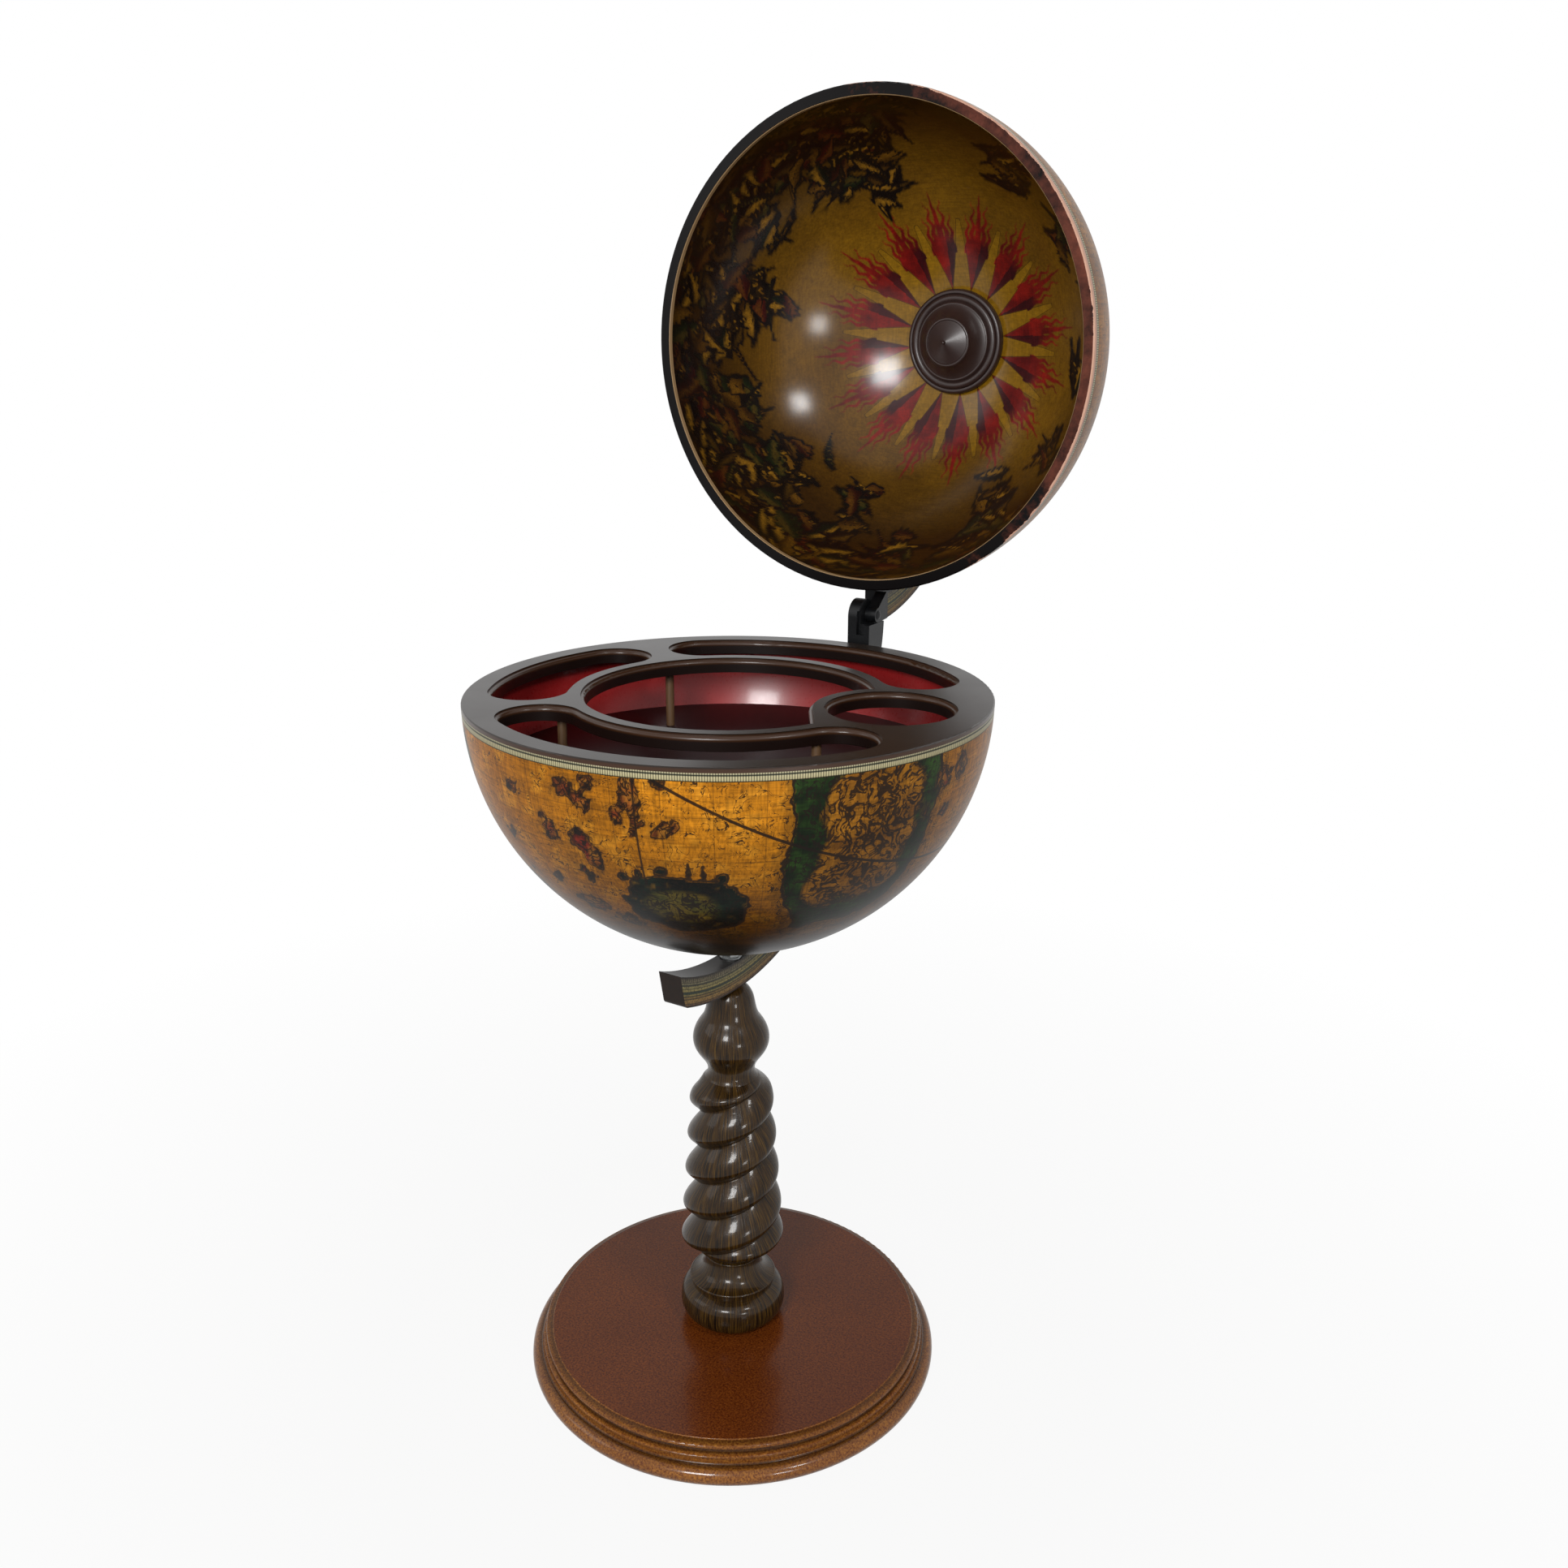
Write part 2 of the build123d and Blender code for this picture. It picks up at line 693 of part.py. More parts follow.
def tray_openings():
    """Plans of the openings at the top face."""
    cap = degrees(asin(pocket_width / 2 / pocket_middle_radius))
    rear_start = bottle_hole_bearing + cap_beside_hole(rear_pocket_hole_web)
    front_end = 360 + bottle_hole_bearing - cap_beside_hole(front_pocket_hole_web)
    return [
        Circle(well_radius) - bottle_ring_face(),
        Pos(bottle_hole_x, bottle_hole_y) * Circle(bottle_hole_radius),
        pocket_face(left_pocket_bearings[0] + cap, left_pocket_bearings[1] - cap),
        pocket_face(rear_start, rear_pocket_end_bearing - cap),
        pocket_face(front_pocket_start_bearing + cap, front_end),
    ]


def bottle_tray():
    """Tray that seats on the bowl's edge.  Each opening has a small step and a rounded bead."""
    top = bowl_centre
    step = top - bead_step
    lip_radius = sqrt(globe_radius**2 - tray_lip_thickness**2)
    body = rod(tray_plug_radius, top - tray_thickness, top - tray_lip_thickness)
    lip = rod(lip_radius, top - tray_lip_thickness, top)
    lip = fillet(lip.edges().group_by(Axis.Z)[-1], tray_edge_rounding)
    body = body + lip
    for plan in tray_openings():
        bead_plan = offset(plan, -bead_width, kind=Kind.INTERSECTION)
        body -= Pos(0, 0, step) * extrude(plan, bead_step)
        body -= Pos(0, 0, top - tray_thickness) * extrude(bead_plan, tray_thickness)
    bead_edges = [edge for edge in body.edges().filter_by_position(Axis.Z, step - 0.01, step + 0.01)
                  if min_opening_gap(edge) > bead_width / 2]
    body = fillet(bead_edges, bead_rounding)
    for radius, angle in post_places:
        socket = Pos(radius * cos(radians(angle)), radius * sin(radians(angle)), 0)
        body -= socket * rod(post_tenon_radius + running_clearance, top - tray_thickness,
                             top - tray_thickness + post_tenon_length + running_clearance)
    return body


def min_opening_gap(edge):
    """How far an edge at the step level lies inside the nearest opening's top outline."""
    middle = edge @ 0.5
    point = Vertex(middle.X, middle.Y, 0)
    return min(outline_edge.distance_to(point)
               for plan in tray_openings() for outline_edge in plan.edges())


def bottle_floor():
    """Dished-edge floor disc that the bottles stand on, wedged in the bowl."""
    top = -floor_depth
    low = top - floor_thickness
    fit = face_clearance / 2
    body = turned(*outline((0, low), (sqrt(shell_inside**2 - low**2) - fit, low),
                           (sqrt(shell_inside**2 - top**2) - fit - 0.2, top), (0, top), (0, low)))
    for radius, angle in post_places:
        hole = Pos(radius * cos(radians(angle)), radius * sin(radians(angle)), 0)
        body -= hole * rod(strap_screw_radius + bore_clearance, low, top)
    return Pos(0, 0, bowl_centre) * body


def tray_posts():
    """Dowel posts tenoned into the tray, bored below for their screws."""
    low = bowl_centre - floor_depth
    shoulder = bowl_centre - tray_thickness
    posts = []
    for radius, angle in post_places:
        post = rod(post_radius, low, shoulder) + rod(post_tenon_radius, shoulder,
                                                     shoulder + post_tenon_length)
        post -= rod(strap_screw_radius * 0.6 + running_clearance, low,
                    low + post_screw_length - floor_thickness + 1)
        posts.append(Pos(radius * cos(radians(angle)), radius * sin(radians(angle)), 0) * post)
    return posts


def post_screws():
    """Screws up through the floor disc into the posts."""
    under = bowl_centre - floor_depth - floor_thickness
    neck = under + floor_thickness
    tip = under + post_screw_length
    screws = []
    for radius, angle in post_places:
        screw = turned(*outline((0, under - 2.4), (2.2, under - 2.4), (strap_screw_head_radius, under - 1.0),
                                (strap_screw_head_radius, under), (strap_screw_radius, under),
                                (strap_screw_radius, neck), (strap_screw_radius * 0.6, neck),
                                (strap_screw_radius * 0.6, tip - 2), (0, tip), (0, under - 2.4)))
        screws.append(Pos(radius * cos(radians(angle)), radius * sin(radians(angle)), 0) * screw)
    return screws


# ---------------------------------------------------------------- arm and lid, built shut


def above(shape):
    """The lid's twin of a piece of the bowl's spindle."""
    return about_equator(shape, bowl_centre, lid_centre)


leaf_end = hinge_z + hinge_reach
leaf_end_above_centre = leaf_end - upper_meridian_centre


def upper_meridian():
    body = mirror(half_meridian(-leaf_end_above_centre), Plane.XY)
    return Pos(0, 0, upper_meridian_centre) * body


def hinge_leaf():
    """Moving hinge half: a knuckle beside the bracket's ear, a block and the strap."""
    half = hinge_width / 2
    root = leaf_end - 3.0
    root_rise = root - upper_meridian_centre
    end_rise = leaf_end - upper_meridian_centre
    far = 2 * meridian_outside
    band = Polygon((0, root_rise), (far, root_rise), (far, end_rise), (0, end_rise), align=None)
    block_face = (Circle(meridian_outside) - Circle(meridian_inside)) & band
    inside = sqrt(meridian_inside**2 - root_rise**2)
    outside = sqrt(meridian_outside**2 - root_rise**2)
    knuckle_face = Pos(hinge_y, hinge_z) * Circle(hinge_knuckle_radius)
    knuckle_face += Polygon((hinge_y - hinge_knuckle_radius, hinge_z),
                            (hinge_y + hinge_knuckle_radius, hinge_z),
                            (outside, root + 0.5), (inside + 0.2, root + 0.5), align=None)
    body = slab(Pos(0, upper_meridian_centre) * block_face, -half, half)
    body += slab(knuckle_face, face_clearance / 2, half)
    body += Pos(0, 0, upper_meridian_centre) * mirror(strap(-leaf_end_above_centre), Plane.XY)
    pin_hole = Pos(hinge_y, hinge_z) * Circle(hinge_pin_radius + running_clearance)
    return body - slab(pin_hole, 0, half)


def leaf_screws():
    return [Pos(0, 0, upper_meridian_centre) * mirror(screw, Plane.XY)
            for screw in strap_screws(-leaf_end_above_centre)]


def pivot_bolt():
    """Domed bolt down through the upper meridian's pole; the lid turns on its shank."""
    crown = meridian_centre - bowl_centre - meridian_outside
    head = turned(Line((0, crown), (bolt_head_radius, crown)),
                  dome_arc(bolt_head_radius, crown, -bolt_head_height),
                  Line((0, crown - bolt_head_height), (0, crown)))
    shank = rod(rod_radius, crown, rod_top - bowl_centre)
    return above(Pos(0, 0, bowl_centre) * (shank + head))


def lid_shell():
    body = bored_shell(rim_thickness)
    return above(Pos(0, 0, bowl_centre) * body)


def lid_rim():
    """Flat wooden ring under the lid's edge, with a small bevel on its inner corner."""
    outer = sqrt(globe_radius**2 - rim_thickness**2)
    ring = tube(outer, globe_radius - rim_width, lid_centre, lid_centre + rim_thickness)
    low_edges = ring.edges().group_by(Axis.Z)[0].sort_by(SortBy.LENGTH)
    ring = fillet(low_edges[-1], rim_rounding)
    inner_edge = ring.edges().group_by(Axis.Z)[0].sort_by(SortBy.LENGTH)[0]
    return chamfer(inner_edge, 0.8)


def lid_boss():
    """Turned boss that hides the lock nut: stepped beads, a cove and a shallow cone."""
    tip = pole_block_face - boss_height + 3.9
    disc = tip + 8.6
    skirt = boss_radius
    profile = [
        *outline((0, shell_inside), (skirt, shell_inside), (skirt, disc + 17.4)),
        ThreePointArc((skirt, disc + 17.4), (skirt - 1.2, disc + 15.3), (skirt - 3.6, disc + 15.1)),
        *outline((skirt - 3.6, disc + 15.1), (skirt - 4.3, disc + 16.1)),
        ThreePointArc((skirt - 4.3, disc + 16.1), (skirt - 6.6, disc + 13.5),
                      (skirt - 10.4, disc + 14.6)),
        *outline((skirt - 10.4, disc + 14.6), (skirt - 11.2, disc + 13.4)),
        ThreePointArc((skirt - 11.2, disc + 13.4), (skirt - 12.0, disc + 12.2),
                      (skirt - 13.4, disc + 12.0)),
        Spline((skirt - 13.4, disc + 12.0), (boss_disc_radius + 6.6, disc + 9.6),
               (boss_disc_radius + 2.4, disc + 5.4), (boss_disc_radius, disc + 1.9)),
        ThreePointArc((boss_disc_radius, disc + 1.9), (boss_disc_radius - 0.8, disc + 0.3),
                      (boss_disc_radius - 2.2, disc)),
        *outline((boss_disc_radius - 2.2, disc), (boss_disc_radius - 3.0, disc + 0.9)),
        Spline((boss_disc_radius - 3.0, disc + 0.9), (boss_disc_radius / 2, disc - 2.4),
               (1.9, tip + 2.2)),
        *outline((1.9, tip + 2.2), (1.4, tip + 0.8)),
        dome_arc(1.4, tip + 0.8, -0.8),
        *outline((0, tip), (0, shell_inside)),
    ]
    body = turned(*profile) & Sphere(shell_inside)
    body -= rod(pole_block_radius + running_clearance, pole_block_face, shell_inside)
    body -= rod(boss_hollow_radius, pole_block_face - boss_hollow_depth, pole_block_face)
    return Pos(0, 0, lid_centre) * body


# ---------------------------------------------------------------- assembly

standing_pieces = {
    "base_disc": base_disc,
    "base_felt": base_felt,
    "base_washer": base_washer,
    "base_nut": base_nut,
    "tie_rod": tie_rod,
    "column": column,
    "lower_meridian": lower_meridian,
    "clamp_washer": clamp_washer,
    "clamp_nut": clamp_nut,
    "pole_sleeve": pole_sleeve,
    "glide_washer": glide_washer,
    "lock_washer": lock_washer,
    "lock_nut": lock_nut,
    "hinge_bracket": hinge_bracket,
    "bracket_screws": bracket_screws,
    "hinge_pin": hinge_pin,
    "bowl_shell": bowl_shell,
    "bowl_pole_block": bowl_pole_block,
    "bowl_bush": bowl_bush,
    "bottle_tray": bottle_tray,
    "tray_posts": tray_posts,
    "bottle_floor": bottle_floor,
    "post_screws": post_screws,
}

swinging_pieces = {
    "upper_meridian": upper_meridian,
    "hinge_leaf": hinge_leaf,
    "leaf_screws": leaf_screws,
    "pivot_bolt": pivot_bolt,
    "upper_clamp_washer": lambda: above(clamp_washer()),
    "upper_clamp_nut": lambda: above(clamp_nut()),
    "upper_pole_sleeve": lambda: above(pole_sleeve()),
    "upper_glide_washer": lambda: above(glide_washer()),
    "upper_lock_washer": lambda: above(lock_washer()),
    "upper_lock_nut": lambda: above(lock_nut()),
    "lid_shell": lid_shell,
    "lid_rim": lid_rim,
    "lid_pole_block": lambda: above(bowl_pole_block()),
    "lid_bush": lambda: above(bowl_bush()),
    "lid_boss": lid_boss,
}


def solids_of(shape):
    """Every solid of one piece or of a group of like pieces."""
    group = shape if isinstance(shape, list) else [shape]
    return [solid for piece in group for solid in piece.solids()]


def write_piece(name, solids):
    """One STEP file for each named piece."""
    export_step(solids[0] if len(solids) == 1 else Compound(solids), f"parts/{name}.step")


os.makedirs("parts", exist_ok=True)
for name, build in standing_pieces.items():
    write_piece(name, solids_of(build()))
for name, build in swinging_pieces.items():
    write_piece(name, [shut_to_open(solid) for solid in solids_of(build())])
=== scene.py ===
import bpy
import json
import numpy as np
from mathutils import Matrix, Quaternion, Vector


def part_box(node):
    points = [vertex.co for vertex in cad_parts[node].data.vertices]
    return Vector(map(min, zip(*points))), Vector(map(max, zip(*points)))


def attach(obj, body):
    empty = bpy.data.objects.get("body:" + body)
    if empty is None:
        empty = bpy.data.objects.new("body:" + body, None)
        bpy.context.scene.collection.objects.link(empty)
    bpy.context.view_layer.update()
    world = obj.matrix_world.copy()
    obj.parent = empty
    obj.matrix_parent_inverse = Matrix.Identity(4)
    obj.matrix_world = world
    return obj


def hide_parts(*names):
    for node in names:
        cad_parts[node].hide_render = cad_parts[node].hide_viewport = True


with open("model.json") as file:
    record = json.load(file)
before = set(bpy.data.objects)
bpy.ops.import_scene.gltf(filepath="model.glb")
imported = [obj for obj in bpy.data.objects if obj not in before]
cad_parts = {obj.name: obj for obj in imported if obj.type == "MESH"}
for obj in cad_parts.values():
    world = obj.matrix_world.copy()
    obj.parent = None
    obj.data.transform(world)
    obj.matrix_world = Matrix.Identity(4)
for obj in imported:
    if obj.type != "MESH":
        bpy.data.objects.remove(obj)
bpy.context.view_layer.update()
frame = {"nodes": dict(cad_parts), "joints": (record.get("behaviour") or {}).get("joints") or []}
nodes = frame["nodes"]

# The studio: a pale floor in white surroundings.  A square soft box in front and two small ones at
# the right, one low and one high, light the piece as a room's windows do, and a wide faint one at
# the left fills in.

def paint(code):
    """A hex sRGB colour as linear light: each part c is c / 12.92 up to 0.04045, and
    ((c + 0.055) / 1.055) ** 2.4 above it.  What isn't a hex code is left as it is."""
    if not isinstance(code, str):
        return code
    c = np.array([int(code[i:i + 2], 16) for i in (1, 3, 5)]) / 255
    return (*np.where(c > 0.04045, ((c + 0.055) / 1.055) ** 2.4, c / 12.92), 1.0)


def add(tree, kind, settings={}, values={}):
    """A new node of a kind, or one already there.  Its settings may be just an operation's name.
    Each value goes to the open input of its name or number: nodes and outputs are linked there."""
    node = tree.nodes.new("ShaderNode" + kind) if isinstance(kind, str) else kind
    if isinstance(settings, str):
        settings = {"operation": settings}
    for name, value in settings.items():
        setattr(node, name, value)
    for key, value in values.items():
        inputs = [socket for socket in node.inputs if socket.enabled]
        socket = inputs[key] if isinstance(key, int) else {s.name: s for s in inputs}[key]
        if isinstance(value, bpy.types.Node):
            value = next(s for s in value.outputs if s.enabled)
        if isinstance(value, bpy.types.NodeSocket):
            tree.links.new(value, socket)
        else:
            socket.default_value = paint(value)
    return node


def new_finish(name):
    """A new material, its tree, its shader, and the output that gives Object coordinates."""
    material = bpy.data.materials.new(name)
    material.use_nodes = True
    tree = material.node_tree
    return material, tree, tree.nodes["Principled BSDF"], add(tree, "TexCoord").outputs["Object"]


def showing(tree):
    """1 on rays that show what is behind, straight, in gloss or through glass, and 0 on others."""
    rays = add(tree, "LightPath").outputs
    seen = add(tree, "Math", "MAXIMUM", {0: rays["Is Camera Ray"], 1: rays["Is Glossy Ray"]})
    return add(tree, "Math", "MAXIMUM", {0: seen, 1: rays["Is Transmission Ray"]})


bpy.context.scene.view_settings.view_transform = "Standard"
world = bpy.data.worlds.new("white_studio")
world.use_nodes = True
bpy.context.scene.world = world
tree = world.node_tree
level = add(tree, "MapRange", {}, {"Value": showing(tree), "To Min": 0.34, "To Max": 1.0})
add(tree, tree.nodes["Background"], {}, {"Color": (1, 1, 1, 1), "Strength": level})

reach = 4.0
corners = [(x * reach, y * reach, 0) for x, y in ((-1, -1), (1, -1), (1, 1), (-1, 1))]
floor_mesh = bpy.data.meshes.new("floor")
floor_mesh.from_pydata(corners, [], [(0, 1, 2, 3)])
floor = bpy.data.objects.new("floor", floor_mesh)
bpy.context.collection.objects.link(floor)
material, tree, shader, place = new_finish("white_painted_floor")
away = add(tree, "VectorMath", "LENGTH", {0: place}).outputs["Value"]
fade = add(tree, "MapRange", {}, {
    "Value": away, "From Min": 0.3, "From Max": 1.1, "To Min": 0.93, "To Max": 1.0})
glow = add(tree, "Math", "MULTIPLY", {0: showing(tree), 1: fade})
matt = add(tree, "BsdfDiffuse", {}, {"Color": "#8a8680"})
white = add(tree, "Emission", {}, {"Color": (1, 1, 1, 1), "Strength": 1.0})
both = add(tree, "MixShader", {}, {0: glow, 1: matt, 2: white})
add(tree, tree.nodes["Material Output"], {}, {"Surface": both})
floor_mesh.materials.append(material)

aim = Vector((0, 0.05, 0.65))
for name, spot, side, watts in (("front_box", (0.42, -1.62, 1.25), 0.46, 28.0),
                                ("right_low_box", (1.47, -1.0, 0.45), 0.26, 6.0),
                                ("right_high_box", (1.40, -0.49, 1.67), 0.26, 9.0),
                                ("left_box", (-1.6, -1.3, 1.5), 1.1, 7.0)):
    lamp = bpy.data.objects.new(name, bpy.data.lights.new(name, "AREA"))
    lamp.data.size = side
    lamp.data.energy = watts
    lamp.location = spot
    lamp.rotation_euler = (aim - Vector(spot)).to_track_quat("-Z", "Y").to_euler()
    bpy.context.collection.objects.link(lamp)

look = Vector((-0.498648, 0.814049, -0.297782))
roll = Quaternion((0, 0, 1), 0.00138)
camera = bpy.data.objects.new("camera", bpy.data.cameras.new("camera"))
camera.location = (0.58784, -0.90467, 0.85995)
camera.rotation_euler = (look.to_track_quat("-Z", "Y") @ roll).to_euler()
camera.data.lens = 33.566
camera.data.shift_x = 0.01106
camera.data.shift_y = -0.00755
bpy.context.collection.objects.link(camera)
bpy.context.scene.camera = camera

# Base: a disc of MDF with a moulded edge, stained red-brown and lacquered.  The fine speckle is the
# stain taken up by the fibres.  Its edge is painted darker in the grooves as shade, and paler on
# the arrises as painted highlight and wear.
# Here and below, a noise's scale is 1000 over the size of its grain in millimetres.
def fill(node, stops):
    """Gives a ramp its colours, each at its place; the first and last are the ramp's own two."""
    elements = node.color_ramp.elements
    for element, (at, colour) in zip(elements, (stops[0], stops[-1])):
        element.position, element.color = at, paint(colour)
    for at, colour in stops[1:-1]:
        elements.new(at).color = paint(colour)


def coat(material, *names):
    """Puts a material on CAD nodes in place of the one that they were packed with."""
    for name in names:
        nodes[name].material_slots[0].material = material


rgba = {"data_type": "RGBA"}
base_low, base_high = (corner[2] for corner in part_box("base_disc"))
material, tree, shader, place = new_finish("stained_mdf_satin_lacquer")
fibres = add(tree, "TexNoise", {}, {
    "Vector": place, "Scale": 1000 / 1.6, "Detail": 3.0, "Roughness": 0.7})
clouds = add(tree, "TexNoise", {}, {"Vector": place, "Scale": 1000 / 90, "Detail": 3.0})
speckle = add(tree, "MapRange", {}, {"Value": fibres, "From Min": 0.35, "From Max": 0.68})
stain = add(tree, "Mix", rgba, {"Factor": speckle, "A": "#3c1405", "B": "#743c12"})
clouded = add(tree, "MapRange", {}, {
    "Value": clouds, "From Min": 0.3, "From Max": 0.75, "To Max": 0.4})
stain = add(tree, "Mix", rgba, {"Factor": clouded, "A": stain, "B": "#3a1405"})
height = add(tree, "SeparateXYZ", {}, {0: place}).outputs["Z"]
level = add(tree, "MapRange", {}, {"Value": height, "From Min": base_low, "From Max": base_high})
# the edge's tones by height, from its foot at 0 to its top at 1, redder than grey is: 0.5 is the
# stain as it is, 0.2 painted shade in a groove and 0.9 a painted highlight, with wear, on an arris
groove_shade_and_arris_light = add(tree, "ValToRGB", {}, {0: level})
fill(groove_shade_and_arris_light, [(0.0, (0.45, 0.45, 0.45, 1)),
               *((at, (tone * 1.1, tone * 1.7, tone * 2.0, 1)) for at, tone in
                 ((0.06, 0.75), (0.30, 0.85), (0.44, 0.75), (0.47, 0.22), (0.52, 0.22), (0.56, 0.9),
                  (0.60, 0.65), (0.66, 0.7), (0.69, 0.95), (0.71, 0.25), (0.83, 0.25), (0.86, 0.9),
                  (0.93, 0.75), (0.965, 0.3), (0.985, 0.95), (0.998, 0.5))),
               (1.0, (0.5, 0.5, 0.5, 1))])
stain = add(tree, "VectorMath", "MULTIPLY", {0: stain, 1: groove_shade_and_arris_light})
stain = add(tree, "VectorMath", "SCALE", {0: stain, "Scale": 2.0})
rough = add(tree, "MapRange", {}, {"Value": clouds, "To Min": 0.18, "To Max": 0.28})
bump = add(tree, "Bump", {}, {"Height": fibres, "Strength": 0.06, "Distance": 0.0002})
lacquer = add(tree, "MapRange", {}, {
    "Value": level, "From Min": 0.44, "From Max": 0.48, "To Min": 0.28, "To Max": 0.05})
add(tree, shader, {}, {
    "Base Color": stain, "Roughness": rough, "Specular IOR Level": 0.14, "Coat Weight": lacquer,
    "Coat Roughness": 0.06, "Normal": bump})
coat(material, "base_disc")

# Felt: a thin dark disc of pressed wool, glued under the base and pierced over its recess.  Its
# matted fibres give no highlight, only a faint pale sheen at its edge.
material, tree, shader, place = new_finish("pressed_wool_felt")
wool = add(tree, "TexNoise", {}, {
    "Vector": place, "Scale": 1000 / 1.2, "Detail": 4.0, "Distortion": 1.5})
shade = add(tree, "Mix", rgba, {"Factor": wool, "A": "#15161a", "B": "#33343a"})
bump = add(tree, "Bump", {}, {"Height": wool, "Strength": 0.5, "Distance": 0.0004})
add(tree, shader, {}, {
    "Base Color": shade, "Roughness": 0.95, "Specular IOR Level": 0.2, "Sheen Weight": 0.3,
    "Sheen Roughness": 0.5, "Normal": bump})
coat(material, "base_felt")

# Column: oak turned and twist-cut from one length, its grain along it, stained dark and waxed.  The
# stain stays darkest in the open pores and the summer growth.
material, tree, shader, place = new_finish("stained_oak_waxed")
# the grain is laid on a cylinder of 30 mm round the axis, so that it runs upright on every turn
outward = add(tree, "VectorMath", "MULTIPLY", {0: place, 1: (1.0, 1.0, 0.0)})
outward = add(tree, "VectorMath", "NORMALIZE", {0: outward})
upright = add(tree, "VectorMath", "MULTIPLY", {0: place, 1: (0.0, 0.0, 0.035)})
drawn = add(tree, "VectorMath", "MULTIPLY_ADD", {0: outward, 1: (0.03, 0.03, 0.0), 2: upright})
bands = add(tree, "TexNoise", {}, {
    "Vector": drawn, "Scale": 1000 / 5, "Detail": 3.0, "Roughness": 0.6})
streaks = add(tree, "TexNoise", {}, {
    "Vector": drawn, "Scale": 1000 / 0.7, "Detail": 3.0, "Roughness": 0.65})
pores = add(tree, "TexNoise", {}, {
    "Vector": drawn, "Scale": 1000 / 0.8, "Detail": 2.0, "Roughness": 0.6})
pore = add(tree, "MapRange", {}, {"Value": pores, "From Min": 0.36, "From Max": 0.47})
wood = add(tree, "ValToRGB", {}, {0: streaks})
fill(wood, ((0.30, "#0c0703"), (0.48, "#2a1b0a"), (0.68, "#4e3812")))
summer = add(tree, "MapRange", {}, {
    "Value": bands, "From Min": 0.45, "From Max": 0.7, "To Max": 0.4})
wood = add(tree, "Mix", rgba, {"Factor": summer, "A": wood, "B": "#1a1008"})
wood = add(tree, "Mix", rgba, {"Factor": pore, "A": "#0c0704", "B": wood})
bump = add(tree, "Bump", {}, {"Height": pore, "Strength": 0.22, "Distance": 0.0003})
add(tree, shader, {}, {
    "Base Color": wood, "Roughness": 0.3, "Specular IOR Level": 0.1, "Coat Weight": 0.24,
    "Coat Roughness": 0.1, "Normal": bump})
coat(material, "column")

# Half meridians: bent laminated wood, its two side faces covered with a printed strip that has
# scale lines along the arc, its inner face and edges stained nearly black.
joints = {joint["name"]: joint for joint in frame["joints"]}
bowl_centre = np.array(joints["bowl_spin"]["pos_m"])
bowl_pole = np.array((0, 0, -1.0))
lid_centre = np.array(joints["lid_spin"]["pos_m"])
lid_pole = np.array(joints["lid_spin"]["axis"])
# each arc's circle, its inner and outer radius, and how far its centre is toward the globe's pole
strip_inner, strip_outer, toward_pole = 0.208, 0.232, 0.012


